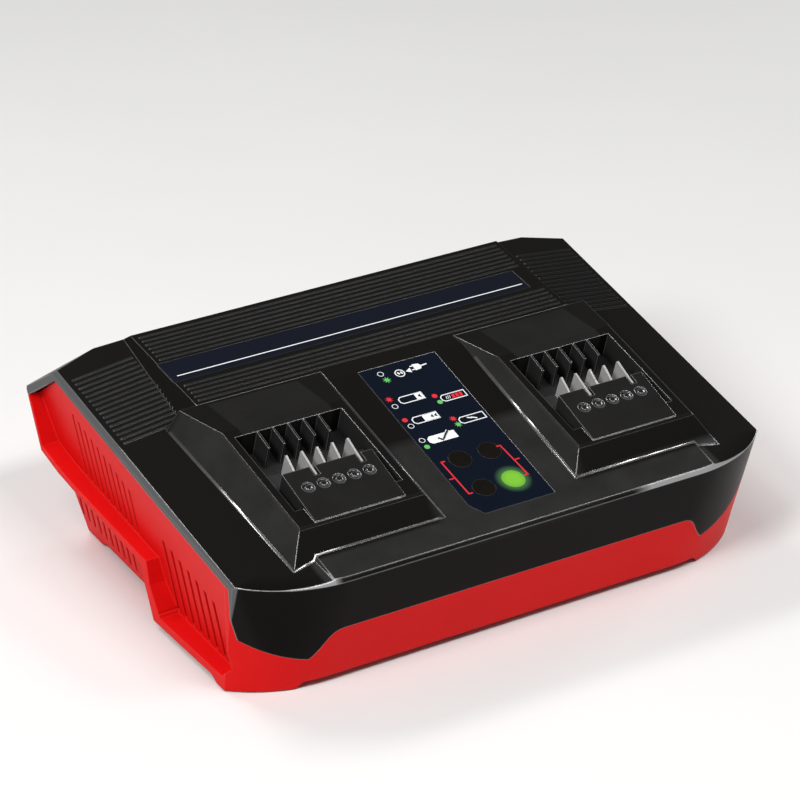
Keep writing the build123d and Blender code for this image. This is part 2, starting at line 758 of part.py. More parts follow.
with BuildPart() as base_tray:
    add(outer_form)
    add(cover_region(PARTING_GAP), mode=Mode.SUBTRACT)
    add(side_recess.part, mode=Mode.SUBTRACT)
    add(room.part, mode=Mode.SUBTRACT)
    add(prism_along(between_feet, (0, 1, 0), 150), mode=Mode.SUBTRACT)
    add(side_prism(along_feet, HALF + 5), mode=Mode.SUBTRACT)
    with BuildSketch(Plane.XY):
        Rectangle(2 * HALF + 20, 2 * DEPTH)
    extrude(amount=FOOT_GAP, mode=Mode.SUBTRACT)

    # screw tubes under the cover's posts, standoffs for the board
    with BuildSketch(Plane.XY.offset(BASE_FLOOR_Z)):
        with Locations(*both_sides(BOLT_PLACES)):
            Circle(TUBE_RADIUS)
    extrude(amount=POST_LOW_Z - SEAT_GAP - BASE_FLOOR_Z)
    with BuildSketch(Plane.XY.offset(BASE_FLOOR_Z + 1)):
        with Locations(*both_sides(BOARD_BOLTS)):
            Circle(STANDOFF_RADIUS)
    extrude(amount=BOARD_Z - SEAT_GAP - BASE_FLOOR_Z - 1)

    # slots of the two grilles and of the intake behind them
    for side in (-1, 1):
        with BuildSketch(Plane.YZ.offset(side * (HALF - 22))):
            for i in range(REAR_SLOTS):
                y = REAR_SLOT_Y + i * REAR_SLOT_PITCH
                add(slot_face(y, 0.9, ledge_z(y) + 1.2, 55.0 + 0.3 * y))
            for i in range(FRONT_SLOTS):
                y = FRONT_SLOT_Y + i * FRONT_SLOT_PITCH
                add(slot_face(y, 1.3, RIM_LOW_Z + 1.5, 49.5 + 0.18 * y))
            for i in range(INTAKE_SLOTS):
                y = INTAKE_SLOT_Y + i * INTAKE_SLOT_PITCH
                add(slot_face(y, 1.1, 5.5 + 0.04 * y, 14.0 + 0.1 * y))
        extrude(amount=side * 20, mode=Mode.SUBTRACT)

    # upright pad for the cord gland
    with BuildSketch(Plane.XZ.offset(-GLAND_FACE_Y)):
        with Locations((GLAND_X, GLAND_Z)):
            RectangleRounded(GLAND_PAD, GLAND_PAD, 3)
    extrude(amount=14)
    with BuildSketch(Plane.XZ.offset(-GLAND_FACE_Y + WALL)):
        with Locations((GLAND_X, GLAND_Z)):
            Rectangle(GLAND_PAD - 2 * WALL, GLAND_PAD - 2 * WALL)
    extrude(amount=20, mode=Mode.SUBTRACT)
    with BuildSketch(Plane.XZ.offset(-GLAND_FACE_Y - 1)):
        with Locations((GLAND_X, GLAND_Z)):
            Circle(GLAND_RADIUS + FLUSH_GAP)
    extrude(amount=10, mode=Mode.SUBTRACT)

    # guides that hold the fan's frame
    with BuildSketch(Plane.XY.offset(BASE_FLOOR_Z + 1)):
        guide_x = FAN_DEPTH / 2 + SEAT_GAP + GUIDE / 2
        guide_y = FAN_SIZE / 2 - 4
        for x in (FAN_X - guide_x, FAN_X + guide_x):
            with Locations((x, FAN_Y - guide_y), (x, FAN_Y + guide_y)):
                Rectangle(GUIDE, 8)
    extrude(amount=9)

    # holes: tubes, pilot holes, pad recesses
    with BuildSketch(Plane.XY):
        with Locations(*both_sides(BOLT_PLACES)):
            Circle(HEAD_RADIUS + 0.4)
    extrude(amount=HEAD_SEAT_Z, mode=Mode.SUBTRACT)
    with BuildSketch(Plane.XY):
        with Locations(*both_sides(BOLT_PLACES)):
            Circle(BOLT_HOLE)
    extrude(amount=POST_LOW_Z, mode=Mode.SUBTRACT)
    with BuildSketch(Plane.XY.offset(BASE_FLOOR_Z + FLOOR)):
        with Locations(*both_sides(BOARD_BOLTS)):
            Circle(SMALL_PILOT)
    extrude(amount=20, mode=Mode.SUBTRACT)
    with BuildSketch(Plane.XY):
        with Locations(*both_sides(PAD_PLACES)):
            Circle(PAD_RADIUS + FLUSH_GAP)
    extrude(amount=FOOT_GAP + PAD_RECESS, mode=Mode.SUBTRACT)

base_tray.part.label = "base_tray"
export_step(base_tray.part, "parts/base_tray.step")


# ---------------------------------------------------------------- plates and lamp windows
with BuildPart() as display_plate:
    with BuildSketch(middle_plane(-PLATE)):
        with BuildLine():
            Polyline(plate_outline(0), close=True)
        make_face()
        for v in LAMP_V:
            with Locations((-LAMP_X, v), (LAMP_X, v)):
                Circle(LAMP_RADIUS + FLUSH_GAP, mode=Mode.SUBTRACT)
    extrude(amount=PLATE)
display_plate.part.label = "display_plate"
export_step(display_plate.part, "parts/display_plate.step")

with BuildPart() as name_plate:
    with BuildSketch(rear_plane(-NAME_PLATE)):
        with Locations(((NAME_LEFT + NAME_RIGHT) / 2, (NAME_LOW + NAME_HIGH) / 2)):
            Rectangle(NAME_RIGHT - NAME_LEFT, NAME_HIGH - NAME_LOW)
    extrude(amount=NAME_PLATE)
name_plate.part.label = "name_plate"
export_step(name_plate.part, "parts/name_plate.step")

lamp_depth = DISPLAY_BOARD_DEPTH - SEAT_GAP
lit_place = (LAMP_X, LAMP_V[1])
dark_places = [(x, v) for v in LAMP_V for x in (-LAMP_X, LAMP_X) if (x, v) != lit_place]
with BuildPart() as lamp_windows:
    with BuildSketch(middle_plane(-lamp_depth)):
        with Locations(*dark_places):
            Circle(LAMP_RADIUS)
    extrude(amount=lamp_depth)
lamp_windows.part.label = "lamp_windows"
export_step(lamp_windows.part, "parts/lamp_windows.step")

with BuildPart() as lamp_window_lit:
    with BuildSketch(middle_plane(-lamp_depth)):
        with Locations(lit_place):
            Circle(LAMP_RADIUS)
    extrude(amount=lamp_depth)
lamp_window_lit.part.label = "lamp_window_lit"
export_step(lamp_window_lit.part, "parts/lamp_window_lit.step")

with BuildPart() as display_board:
    with BuildSketch(middle_plane(-DISPLAY_BOARD_DEPTH - BOARD)):
        with Locations((0, (DISPLAY_BOARD_LOW + DISPLAY_BOARD_HIGH) / 2)):
            Rectangle(2 * DISPLAY_BOARD_HALF, DISPLAY_BOARD_HIGH - DISPLAY_BOARD_LOW)
        with Locations(*[(0, v) for v in DISPLAY_POSTS]):
            Circle(SMALL_HOLE, mode=Mode.SUBTRACT)
    extrude(amount=BOARD)
display_board.part.label = "display_board"
export_step(display_board.part, "parts/display_board.step")


def small_screws(plane, places, head_down):
    """Pan-head screws for the boards: head, shank and a slot across the head."""
    sign = 1 if head_down else -1
    with BuildPart() as screws:
        with BuildSketch(plane):
            with Locations(*places):
                Circle(SMALL_HEAD)
        extrude(amount=-sign * 1.5)
        with BuildSketch(plane):
            with Locations(*places):
                Circle(SMALL_SHANK)
        extrude(amount=sign * 6.0)
        with BuildSketch(plane.offset(-sign * 1.5)):
            with Locations(*places):
                Rectangle(2.6, 0.5)
        extrude(amount=sign * 0.6, mode=Mode.SUBTRACT)
    return screws.part


with BuildPart() as display_screws:
    under_board = middle_plane(-DISPLAY_BOARD_DEPTH - BOARD - SEAT_GAP)
    add(small_screws(under_board, [(0, v) for v in DISPLAY_POSTS], True))
display_screws.part.label = "display_screws"
export_step(display_screws.part, "parts/display_screws.step")

# ---------------------------------------------------------------- contacts of each bay


def blade_outline(reaching):
    """Side view of a contact; two of the five reach into the block's notches."""
    nose = [(BLOCK_LENGTH + 0.5, 1.6)]
    if reaching:
        tip = BLOCK_LENGTH - 4.4
        nose = [(BLOCK_LENGTH + 0.5, 0.9), (tip, 0.9), (tip, 2.4), (BLOCK_LENGTH + 0.5, 3.1)]
    return nose + [
        (39.1, BLADE_TOP),
        (39.6, BLADE_TOP - 0.5),
        (40.2, BLADE_FOOT),
        (TAIL_REAR, BLADE_FOOT),
        (TAIL_REAR, TAIL_END + 1),
        (TAIL_REAR - 1, TAIL_END),
        (TAIL_FRONT + 1, TAIL_END),
        (TAIL_FRONT, TAIL_END + 1),
        (TAIL_FRONT, BLADE_FOOT),
        (BLOCK_LENGTH + 1.3, BLADE_FOOT),
        (BLOCK_LENGTH + 1.3, 0.9 if reaching else 0.0),
    ]


for side, name in ((-1, "left"), (1, "right")):
    with BuildPart() as contact_blades:
        for number, place in enumerate(contact_places()):
            with BuildSketch(bay_side(side, place - BLADE / 2)):
                with BuildLine():
                    Polyline(blade_outline(number in LONG_CONTACTS), close=True)
                make_face()
            extrude(amount=BLADE)
    contact_blades.part.label = "contact_blades_" + name
    export_step(contact_blades.part, "parts/contact_blades_" + name + ".step")

    with BuildPart() as contact_carrier:
        with BuildSketch(bay_plane(side, CARRIER_TOP)):
            with Locations((0, (CHANNEL_START + POCKET_END) / 2)):
                RectangleRounded(pocket_width, pocket_length, 1.5)
        extrude(amount=-CARRIER)
        with BuildSketch(bay_plane(side, CARRIER_TOP)):
            with Locations((0, (COMB_FRONT + COMB_REAR) / 2)):
                Rectangle(2 * POCKET_HALF - 1, COMB_REAR - COMB_FRONT)
        extrude(amount=COMB_TOP - CARRIER_TOP)
        for place in contact_places():
            with BuildSketch(bay_side(side, place - BLADE / 2 - SEAT_GAP)):
                with Locations(((COMB_FRONT + COMB_REAR) / 2, BLADE_FOOT - SEAT_GAP + 5)):
                    Rectangle(COMB_REAR - COMB_FRONT - 0.4, 10)
                with Locations(((TAIL_FRONT + TAIL_REAR) / 2, -13)):
                    Rectangle(TAIL_REAR - TAIL_FRONT + 2 * SEAT_GAP, 10)
            extrude(amount=BLADE + 2 * SEAT_GAP, mode=Mode.SUBTRACT)
    contact_carrier.part.label = "contact_carrier_" + name
    export_step(contact_carrier.part, "parts/contact_carrier_" + name + ".step")

# ---------------------------------------------------------------- base fittings
with BuildPart() as rubber_pads:
    with BuildSketch(Plane.XY):
        with Locations(*both_sides(PAD_PLACES)):
            Circle(PAD_RADIUS)
    extrude(amount=FOOT_GAP + PAD_RECESS - SEAT_GAP)
rubber_pads.part.label = "rubber_pads"
export_step(rubber_pads.part, "parts/rubber_pads.step")

with BuildPart() as housing_screws:
    with BuildSketch(Plane.XY.offset(HEAD_SEAT_Z - SEAT_GAP - HEAD_HEIGHT)):
        with Locations(*both_sides(BOLT_PLACES)):
            Circle(HEAD_RADIUS)
    extrude(amount=HEAD_HEIGHT)
    with BuildSketch(Plane.XY.offset(HEAD_SEAT_Z - SEAT_GAP)):
        with Locations(*both_sides(BOLT_PLACES)):
            Circle(BOLT_RADIUS)
    extrude(amount=22)
    with BuildSketch(Plane.XY.offset(HEAD_SEAT_Z - SEAT_GAP - HEAD_HEIGHT)):
        with Locations(*both_sides(BOLT_PLACES)):
            Rectangle(3.4, 0.8)
            Rectangle(0.8, 3.4)
    extrude(amount=1.3, mode=Mode.SUBTRACT)
housing_screws.part.label = "housing_screws"
export_step(housing_screws.part, "parts/housing_screws.step")

with BuildPart() as cord_gland:
    wall_out = GLAND_FACE_Y
    wall_in = GLAND_FACE_Y - WALL
    with BuildSketch(Plane.YZ.offset(GLAND_X)):
        with BuildLine():
            Polyline(
                (wall_in - 3, GLAND_Z + GLAND_BORE),
                (wall_in - 3, GLAND_Z + 7.5),
                (wall_in - SEAT_GAP, GLAND_Z + 7.5),
                (wall_in - SEAT_GAP, GLAND_Z + GLAND_RADIUS),
                (wall_out + SEAT_GAP, GLAND_Z + GLAND_RADIUS),
                (wall_out + SEAT_GAP, GLAND_Z + 8.5),
                (wall_out + 2, GLAND_Z + 8.5),
                (wall_out + 3, GLAND_Z + 7.0),
                (wall_out + 9, GLAND_Z + 5.2),
                (wall_out + 9, GLAND_Z + GLAND_BORE),
                close=True,
            )
        make_face()
    revolve(axis=Axis((GLAND_X, 0, GLAND_Z), (0, 1, 0)))
cord_gland.part.label = "cord_gland"
export_step(cord_gland.part, "parts/cord_gland.step")

# ---------------------------------------------------------------- main board and what it carries
with BuildPart() as main_board:
    with BuildSketch(Plane.XY.offset(BOARD_Z)):
        with Locations((0, (BOARD_FRONT + BOARD_REAR) / 2)):
            RectangleRounded(2 * BOARD_HALF, BOARD_REAR - BOARD_FRONT, 3)
        with Locations(*both_sides(BOARD_BOLTS)):
            Circle(SMALL_HOLE, mode=Mode.SUBTRACT)
    extrude(amount=BOARD)
main_board.part.label = "main_board"
export_step(main_board.part, "parts/main_board.step")

with BuildPart() as board_screws:
    add(small_screws(Plane.XY.offset(BOARD_Z + BOARD + SEAT_GAP), both_sides(BOARD_BOLTS), False))
board_screws.part.label = "board_screws"
export_step(board_screws.part, "parts/board_screws.step")


def boxes(places, length, depth, height):
    """Plain boxes standing on the board."""
    with BuildPart() as group:
        with BuildSketch(Plane.XY.offset(SEAT_Z)):
            with Locations(*places):
                Rectangle(length, depth)
        extrude(amount=height)
    return group.part


def cans(places, radius, height):
    """Round cans standing on the board."""
    with BuildPart() as group:
        with BuildSketch(Plane.XY.offset(SEAT_Z)):
            with Locations(*places):
                Circle(radius)
        extrude(amount=height)
    return group.part


with BuildPart() as transformer_core:
    add(boxes([CORE_PLACE], *CORE))
    with BuildSketch(Plane.XZ.offset(-CORE_PLACE[1] + CORE[1])):
        with Locations((CORE_PLACE[0], SEAT_Z + CORE[2] / 2)):
            Rectangle(*WINDOW)
            Rectangle(CORE_LEG, WINDOW[1], mode=Mode.SUBTRACT)
    extrude(amount=-2 * CORE[1], mode=Mode.SUBTRACT)
transformer_core.part.label = "transformer_core"
export_step(transformer_core.part, "parts/transformer_core.step")

with BuildPart() as transformer_winding:
    with BuildSketch(Plane.XY.offset(SEAT_Z + (CORE[2] - WINDOW[1]) / 2 + 0.2)):
        with Locations(CORE_PLACE):
            RectangleRounded(WINDOW[0] - 0.6, CORE[1] + 14, 5)
            Rectangle(CORE_LEG + 0.4, CORE[1] + 0.4, mode=Mode.SUBTRACT)
    extrude(amount=WINDOW[1] - 0.4)
transformer_winding.part.label = "transformer_winding"
export_step(transformer_winding.part, "parts/transformer_winding.step")

with BuildPart() as bulk_capacitors:
    add(cans([(34, 26), (34, 0)], 11, 30))
bulk_capacitors.part.label = "bulk_capacitors"
export_step(bulk_capacitors.part, "parts/bulk_capacitors.step")

with BuildPart() as output_capacitors:
    add(cans([(-62, 24), (-76, 24)], 6, 18))
output_capacitors.part.label = "output_capacitors"
export_step(output_capacitors.part, "parts/output_capacitors.step")

with BuildPart() as line_choke:
    with BuildSketch(Plane.XY.offset(SEAT_Z)):
        with Locations((66, 18)):
            RegularPolygon(13, 12)
            RegularPolygon(5, 12, mode=Mode.SUBTRACT)
    extrude(amount=9)
line_choke.part.label = "line_choke"
export_step(line_choke.part, "parts/line_choke.step")

with BuildPart() as heat_sinks:
    for x in (-40, 30):
        with BuildSketch(Plane.XY.offset(SEAT_Z)):
            with Locations((x, -34)):
                Rectangle(56, 3)
            for i in range(8):
                with Locations((x - 24.5 + 7 * i, -29)):
                    Rectangle(1.6, 8)
        extrude(amount=28)
heat_sinks.part.label = "heat_sinks"
export_step(heat_sinks.part, "parts/heat_sinks.step")

with BuildPart() as power_transistors:
    add(boxes([(x, -37.8) for x in (-55, -25, 15, 45)], 10, 4.5, 19))
power_transistors.part.label = "power_transistors"
export_step(power_transistors.part, "parts/power_transistors.step")

with BuildPart() as relays:
    add(boxes([(-80, -8), (-80, -26)], 19, 15, 15))
relays.part.label = "relays"
export_step(relays.part, "parts/relays.step")

with BuildPart() as mains_fuse:
    with BuildSketch(Plane.YZ.offset(68)):
        with Locations((-4, SEAT_Z + 3)):
            Circle(3)
    extrude(amount=18)
mains_fuse.part.label = "mains_fuse"
export_step(mains_fuse.part, "parts/mains_fuse.step")

with BuildPart() as mains_terminal:
    add(boxes([(60, 42)], 22, 12, 14))
mains_terminal.part.label = "mains_terminal"
export_step(mains_terminal.part, "parts/mains_terminal.step")

# ---------------------------------------------------------------- fan behind the left grille
fan_plane = Plane(origin=(FAN_X, FAN_Y, FAN_Z), x_dir=(0, 1, 0), z_dir=(1, 0, 0))

with BuildPart() as fan_frame:
    with BuildSketch(fan_plane.offset(-FAN_DEPTH / 2)):
        RectangleRounded(FAN_SIZE, FAN_SIZE, 3)
        Circle(FAN_BORE, mode=Mode.SUBTRACT)
    extrude(amount=FAN_DEPTH)
    with BuildSketch(fan_plane.offset(FAN_DEPTH / 2 - 2)):
        Circle(HUB)
        with PolarLocations((HUB + FAN_BORE) / 2, 4, start_angle=45):
            Rectangle(FAN_BORE - HUB + 2, 3)
    extrude(amount=2)
    with BuildSketch(fan_plane.offset(FAN_DEPTH / 2 - 6)):
        Circle(SHAFT + 1.5)
    extrude(amount=6)
    with BuildSketch(fan_plane.offset(FAN_DEPTH / 2 - 6)):
        Circle(SHAFT + RUNNING_GAP)
    extrude(amount=6, mode=Mode.SUBTRACT)
fan_frame.part.label = "fan_frame"
export_step(fan_frame.part, "parts/fan_frame.step")

def turned(x, y, angle):
    """A point turned about the fan's axis, degrees."""
    a = radians(angle)
    return (x * cos(a) - y * sin(a), x * sin(a) + y * cos(a))


with BuildPart() as fan_rotor:
    with BuildSketch(fan_plane.offset(-FAN_DEPTH / 2 + 0.6)):
        Circle(HUB)
    extrude(amount=FAN_DEPTH - 3.2)
    with BuildSketch(fan_plane.offset(-FAN_DEPTH / 2 + 2.0)):
        Circle(SHAFT + 2.2)
    extrude(amount=FAN_DEPTH, mode=Mode.SUBTRACT)
    with BuildSketch(fan_plane.offset(-FAN_DEPTH / 2 + 1.4)):
        Circle(SHAFT)
    extrude(amount=FAN_DEPTH - 2.4)
    with BuildSketch(fan_plane.offset(-FAN_DEPTH / 2 + 1.2)):
        for i in range(FAN_BLADES):
            angle = 360 * i / FAN_BLADES
            root, tip = HUB - 0.6, FAN_BORE - BLADE_GAP
            with BuildLine():
                ThreePointArc(turned(root, -1.0, angle), turned(13, 1.4, angle), turned(tip, 0.4, angle))
                Line(turned(tip, 0.4, angle), turned(tip, 1.8, angle))
                ThreePointArc(turned(tip, 1.8, angle), turned(13, 2.8, angle), turned(root, 0.6, angle))
                Line(turned(root, 0.6, angle), turned(root, -1.0, angle))
            make_face()
    extrude(amount=FAN_DEPTH - 4.6)
fan_rotor.part.label = "fan_rotor"
export_step(fan_rotor.part, "parts/fan_rotor.step")
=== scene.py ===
"""Twin-bay charger for sliding tool batteries: finishes, prints, fillets, light and camera.

The solids come from the frame and keep their shapes. Each of them gets a finish here, and
three things are added to them: the printed symbols of the display plate, the rule of the
long rear plate, and the fillets round the feet of the bays.

Lengths of the charger are written in millimetres, and MM turns them into the metres that
Blender reads. The lamps, the floor and the camera are placed in metres.
"""

import math

import bpy
import numpy as np
from mathutils import Matrix, Vector


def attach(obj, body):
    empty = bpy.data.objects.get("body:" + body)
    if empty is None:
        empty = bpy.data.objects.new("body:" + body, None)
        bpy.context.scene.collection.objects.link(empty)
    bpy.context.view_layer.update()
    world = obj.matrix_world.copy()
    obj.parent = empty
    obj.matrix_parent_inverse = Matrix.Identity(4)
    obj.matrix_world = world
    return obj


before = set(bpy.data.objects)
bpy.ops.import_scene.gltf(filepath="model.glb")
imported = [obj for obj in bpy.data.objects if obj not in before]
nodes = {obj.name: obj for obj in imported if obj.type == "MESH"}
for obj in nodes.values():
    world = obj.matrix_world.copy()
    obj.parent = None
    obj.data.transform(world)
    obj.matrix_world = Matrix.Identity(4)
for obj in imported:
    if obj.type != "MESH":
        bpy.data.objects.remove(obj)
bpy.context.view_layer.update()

# ---------------------------------------------------------------- sizes, millimetres
MM = 0.001
BREAK_Y, BREAK_Z = 8.0, 90.0            # line where the display strip meets the flatter rear
STRIP_SLOPE = 0.2558                    # rise of the display strip per mm of depth
STRIP_TILT = math.atan(STRIP_SLOPE)
REAR_TILT = math.atan(8.6 / 67.0)       # rise and depth of the surface behind that line
LIT_LAMP = (7.8, -87.1)                 # middle of the lit lamp, across and up the strip


def on_slope(flat, height, tilt):
    """Places (x, v) of a surface that rises from the break line, in metres.

    v is measured up the slope and height square to it, so y is the break line's plus
    v cos(tilt) - height sin(tilt), and z is its height plus v sin(tilt) + height cos(tilt)."""
    x, v = np.moveaxis(np.asarray(flat, float), -1, 0)
    s, c = math.sin(tilt), math.cos(tilt)
    return np.stack((x, BREAK_Y + v * c - height * s, BREAK_Z + v * s + height * c), -1) * MM


# ================================================================ node helpers
def fill(made, inputs):
    """Fills sockets of a node, found by name or number, each with a link or a plain value."""
    for key, value in inputs.items():
        socket = made.inputs[key]
        if isinstance(value, bpy.types.NodeSocket):
            made.id_data.links.new(value, socket)
        else:
            socket.default_value = value


def node(tree, kind, inputs=(), **settings):
    """Adds a node, sets its properties and fills its sockets."""
    made = tree.nodes.new(kind)
    for key, value in settings.items():
        setattr(made, key, value)
    fill(made, dict(inputs))
    return made


def new_material(name):
    """An empty node material with a Principled BSDF and its output."""
    material = bpy.data.materials.new(name)
    material.use_nodes = True
    tree = material.node_tree
    tree.nodes.clear()
    shader = node(tree, "ShaderNodeBsdfPrincipled")
    node(tree, "ShaderNodeOutputMaterial", {"Surface": shader.outputs[0]})
    return material, tree, shader


def new_group(name, inputs, outputs):
    """A node group with (name, kind, default) inputs and (name, kind) outputs."""
    kinds = {"value": "NodeSocketFloat", "vector": "NodeSocketVector"}
    tree = bpy.data.node_groups.new(name, "ShaderNodeTree")
    for label, kind, default in inputs:
        socket = tree.interface.new_socket(label, in_out="INPUT", socket_type=kinds[kind])
        socket.default_value = default
    for label, kind in outputs:
        tree.interface.new_socket(label, in_out="OUTPUT", socket_type=kinds[kind])
    return tree, tree.nodes.new("NodeGroupInput"), tree.nodes.new("NodeGroupOutput")


def use_group(tree, group, inputs):
    """Places a shared group in a material with its own values."""
    return node(tree, "ShaderNodeGroup", inputs, node_tree=group)


def math_node(tree, operation, *values, clamp=False):
    """The result of a Math node."""
    sockets = dict(enumerate(values))
    return node(tree, "ShaderNodeMath", sockets, operation=operation, use_clamp=clamp).outputs[0]


def product(tree, first, second):
    """Two values or masks multiplied."""
    return math_node(tree, "MULTIPLY", first, second)


def largest(tree, first, *others):
    """The largest of several masks at each spot."""
    for other in others:
        first = math_node(tree, "MAXIMUM", first, other)
    return first


def vector_node(tree, operation, *vectors):
    """A Vector Math node; it puts out a Vector and a Value."""
    return node(tree, "ShaderNodeVectorMath", dict(enumerate(vectors)), operation=operation)


def ramp(tree, value, start, end, low=0.0, high=1.0, **settings):
    """A value carried from the range start...end to low...high, and held beyond its ends."""
    sockets = {0: value, 1: start, 2: end, 3: low, 4: high}
    return node(tree, "ShaderNodeMapRange", sockets, **settings).outputs[0]


def noise(tree, place, scale, detail):
    """The value of a noise texture."""
    sockets = {"Vector": place, "Scale": scale, "Detail": detail}
    return node(tree, "ShaderNodeTexNoise", sockets).outputs[0]


def mix_value(tree, factor, first, second):
    """A mix of two numbers: sockets 2 and 3 of the Mix node."""
    sockets = {0: factor, 2: first, 3: second}
    return node(tree, "ShaderNodeMix", sockets, data_type="FLOAT").outputs[0]


def mix_colour(tree, factor, first, second):
    """A mix of two colours, each a link or a red, green, blue triple: sockets 6 and 7."""
    sockets = {0: factor}
    for key, colour in ((6, first), (7, second)):
        linked = isinstance(colour, bpy.types.NodeSocket)
        sockets[key] = colour if linked else (*colour, 1)
    return node(tree, "ShaderNodeMix", sockets, data_type="RGBA").outputs[2]


def grey(level):
    """A neutral colour."""
    return level, level, level


def object_coordinates(tree):
    """Places in the charger's own coordinates, metres."""
    return node(tree, "ShaderNodeTexCoord").outputs["Object"]


# ================================================================ shared effects
BEVEL_SAMPLES = 16


def build_moulded_skin():
    """Spark-eroded mould texture: fine pits, a slow waviness and stray specks, which the black cover paints
    as glints.
    """
    tree, given, out = new_group(
        "moulded skin",
        [("Grain", "value", 2600.0), ("Waviness", "value", 45.0)],
        [("Height", "value"), ("Cloud", "value"), ("Specks", "value")],
    )
    place = object_coordinates(tree)
    grain = given.outputs["Grain"]
    pits = noise(tree, place, grain, 2.0)
    waves = noise(tree, place, given.outputs["Waviness"], 3.0)
    cells = node(tree, "ShaderNodeTexVoronoi", {"Vector": place, "Scale": grain})
    height = math_node(tree, "MULTIPLY_ADD", waves, 0.25, pits)
    specks = ramp(tree, cells.outputs["Distance"], 0.16, 0.05)
    fill(out, {"Height": height, "Cloud": waves, "Specks": specks})
    return tree


def build_soft_edges():
    """Rounds the look of sharp edges, and marks how far each spot turns from its flat face."""
    tree, given, out = new_group(
        "soft edges",
        [("Radius", "value", 0.7 * MM)],
        [("Normal", "vector"), ("Edge", "value")],
    )
    rounded = node(tree, "ShaderNodeBevel", {"Radius": given.outputs["Radius"]}, samples=BEVEL_SAMPLES)
    flat = node(tree, "ShaderNodeNewGeometry").outputs["True Normal"]
    cosine = vector_node(tree, "DOT_PRODUCT", rounded.outputs[0], flat)
    edge = ramp(tree, cosine.outputs["Value"], 0.995, 0.90)     # from 6 to 26 degrees
    fill(out, {"Normal": rounded.outputs[0], "Edge": edge})
    return tree


def box_mask(tree, middle, half, border):
    """1 inside an upright box and 0 outside, fading across its border; all in metres.

    The mask is 0.5 + (distance inside the nearest face) / border, kept between 0 and 1."""
    away = vector_node(tree, "SUBTRACT", object_coordinates(tree), middle)
    size = vector_node(tree, "ABSOLUTE", away.outputs[0])
    room = vector_node(tree, "SUBTRACT", half, size.outputs[0])
    x, y, z = node(tree, "ShaderNodeSeparateXYZ", {0: room.outputs[0]}).outputs
    nearest = math_node(tree, "MINIMUM", x, math_node(tree, "MINIMUM", y, z))
    scaled = math_node(tree, "DIVIDE", nearest, border)
    return math_node(tree, "ADD", scaled, 0.5, clamp=True)


def build_zone():
    """The box mask as a group."""
    tree, given, out = new_group(
        "zone",
        [("Middle", "vector", (0, 0, 0)), ("Half", "vector", (1, 1, 1)), ("Border", "value", MM)],
        [("Mask", "value")],
    )
    middle, half, border = (given.outputs[label] for label in ("Middle", "Half", "Border"))
    fill(out, {"Mask": box_mask(tree, middle, half, border)})
    return tree


moulded_skin = build_moulded_skin()
soft_edges = build_soft_edges()
zone = build_zone()


def box_size(low, high, border):
    """Middle, half size and border, in metres, of a box given by two corners in millimetres."""
    low, high = np.array(low), np.array(high)
    return (low + high) / 2 * MM, (high - low) / 2 * MM, border * MM


def zone_mask(tree, low, high, border):
    """Mask of a box given by two opposite corners and the width of its border, millimetres."""
    sockets = dict(zip(("Middle", "Half", "Border"), box_size(low, high, border)))
    return use_group(tree, zone, sockets).outputs["Mask"]


def mirrored_mask(tree, low, high, border):
    """Mask of a box and of its mirror on the charger's other side."""
    mirror_low = (-high[0], *low[1:])
    mirror_high = (-low[0], *high[1:])
    return largest(
        tree,
        zone_mask(tree, low, high, border),
        zone_mask(tree, mirror_low, mirror_high, border),
    )


def finish_normal(tree, shader, height, strength, depth, radius):
    """Bump over softened edges, into the shader's normal; gives the edge mask back."""
    edges = use_group(tree, soft_edges, {"Radius": radius})
    sockets = {
        "Height": height,
        "Strength": strength,
        "Distance": depth,
        "Normal": edges.outputs["Normal"],
    }
    fill(shader, {"Normal": node(tree, "ShaderNodeBump", sockets).outputs[0]})
    return edges.outputs["Edge"]


def polish_edges(tree, shader, edge, radius):
    """A clear coat on softened edges alone: they catch the lamps while flat faces stay dark."""
    rounded = node(tree, "ShaderNodeBevel", {"Radius": radius}, samples=BEVEL_SAMPLES)
    fill(shader, {"Coat Weight": edge, "Coat Normal": rounded.outputs[0]})
    fill(shader, {"Coat Roughness": 0.26, "Coat IOR": 2.2})


# ================================================================ the black cover
# Places with a finish, painted light or painted shade of their own: two opposite corners and the border,
# millimetres.
# A place marked "left" has a mirror on the right.
LIT_SIDE_BAND = ((-150, -120, 20), (-137.6, 110, 105), 0.5)         # left
FRONT_STRIP = ((-104, -101.5, 60), (104, -88, 68), 2.0)
FRONT_MIDDLE = ((-38, -101.5, 60), (38, -40, 82), 6.0)
BAY_TOP = ((-95.6, -77.6, 76.2), (-49.4, 13, 96), 1.0)          # left
BAY_FLANKS = ((-125, -95, 62), (125, 14, 93), 4.0)
SKIRT = ((-150, -125, 0), (150, -84, 61), 3.0)
FRONT_CREASE = ((-150, -115, 48), (150, -96, 72), 2.0)
REAR_RIBS = ((-150, 15, 70), (150, 80, 105), 4.0)
LEFT_CORNER = ((-137.6, -115, 48), (-98, -89.5, 74), 4.0)
RIGHT_CORNER = ((60, -115, 48), (137.6, -89.5, 74), 10.0)
OUTER_CORNER = ((-137.6, -115, 48), (-117, -78, 74), 1.0)       # left

COVER_BLACK = (0.0055, 0.0050, 0.0046)
# the front skirt's darker black is painted shade
SKIRT_SHADE_BLACK = (0.0020, 0.0017, 0.0015)
TEXTURED_GREY = (0.020, 0.0195, 0.019)
# the side band's grey is painted light, as if a lamp lit the sides
SIDE_LIGHT_GREY = (0.105, 0.105, 0.108)
SPECK_GLINT_GREY = grey(0.16)
# painted highlights: a light grey on the edges, a paler grey on the front corners' tilted faces
EDGE_HIGHLIGHT_GREY = grey(0.11)
CORNER_HIGHLIGHT_GREY = grey(0.42)


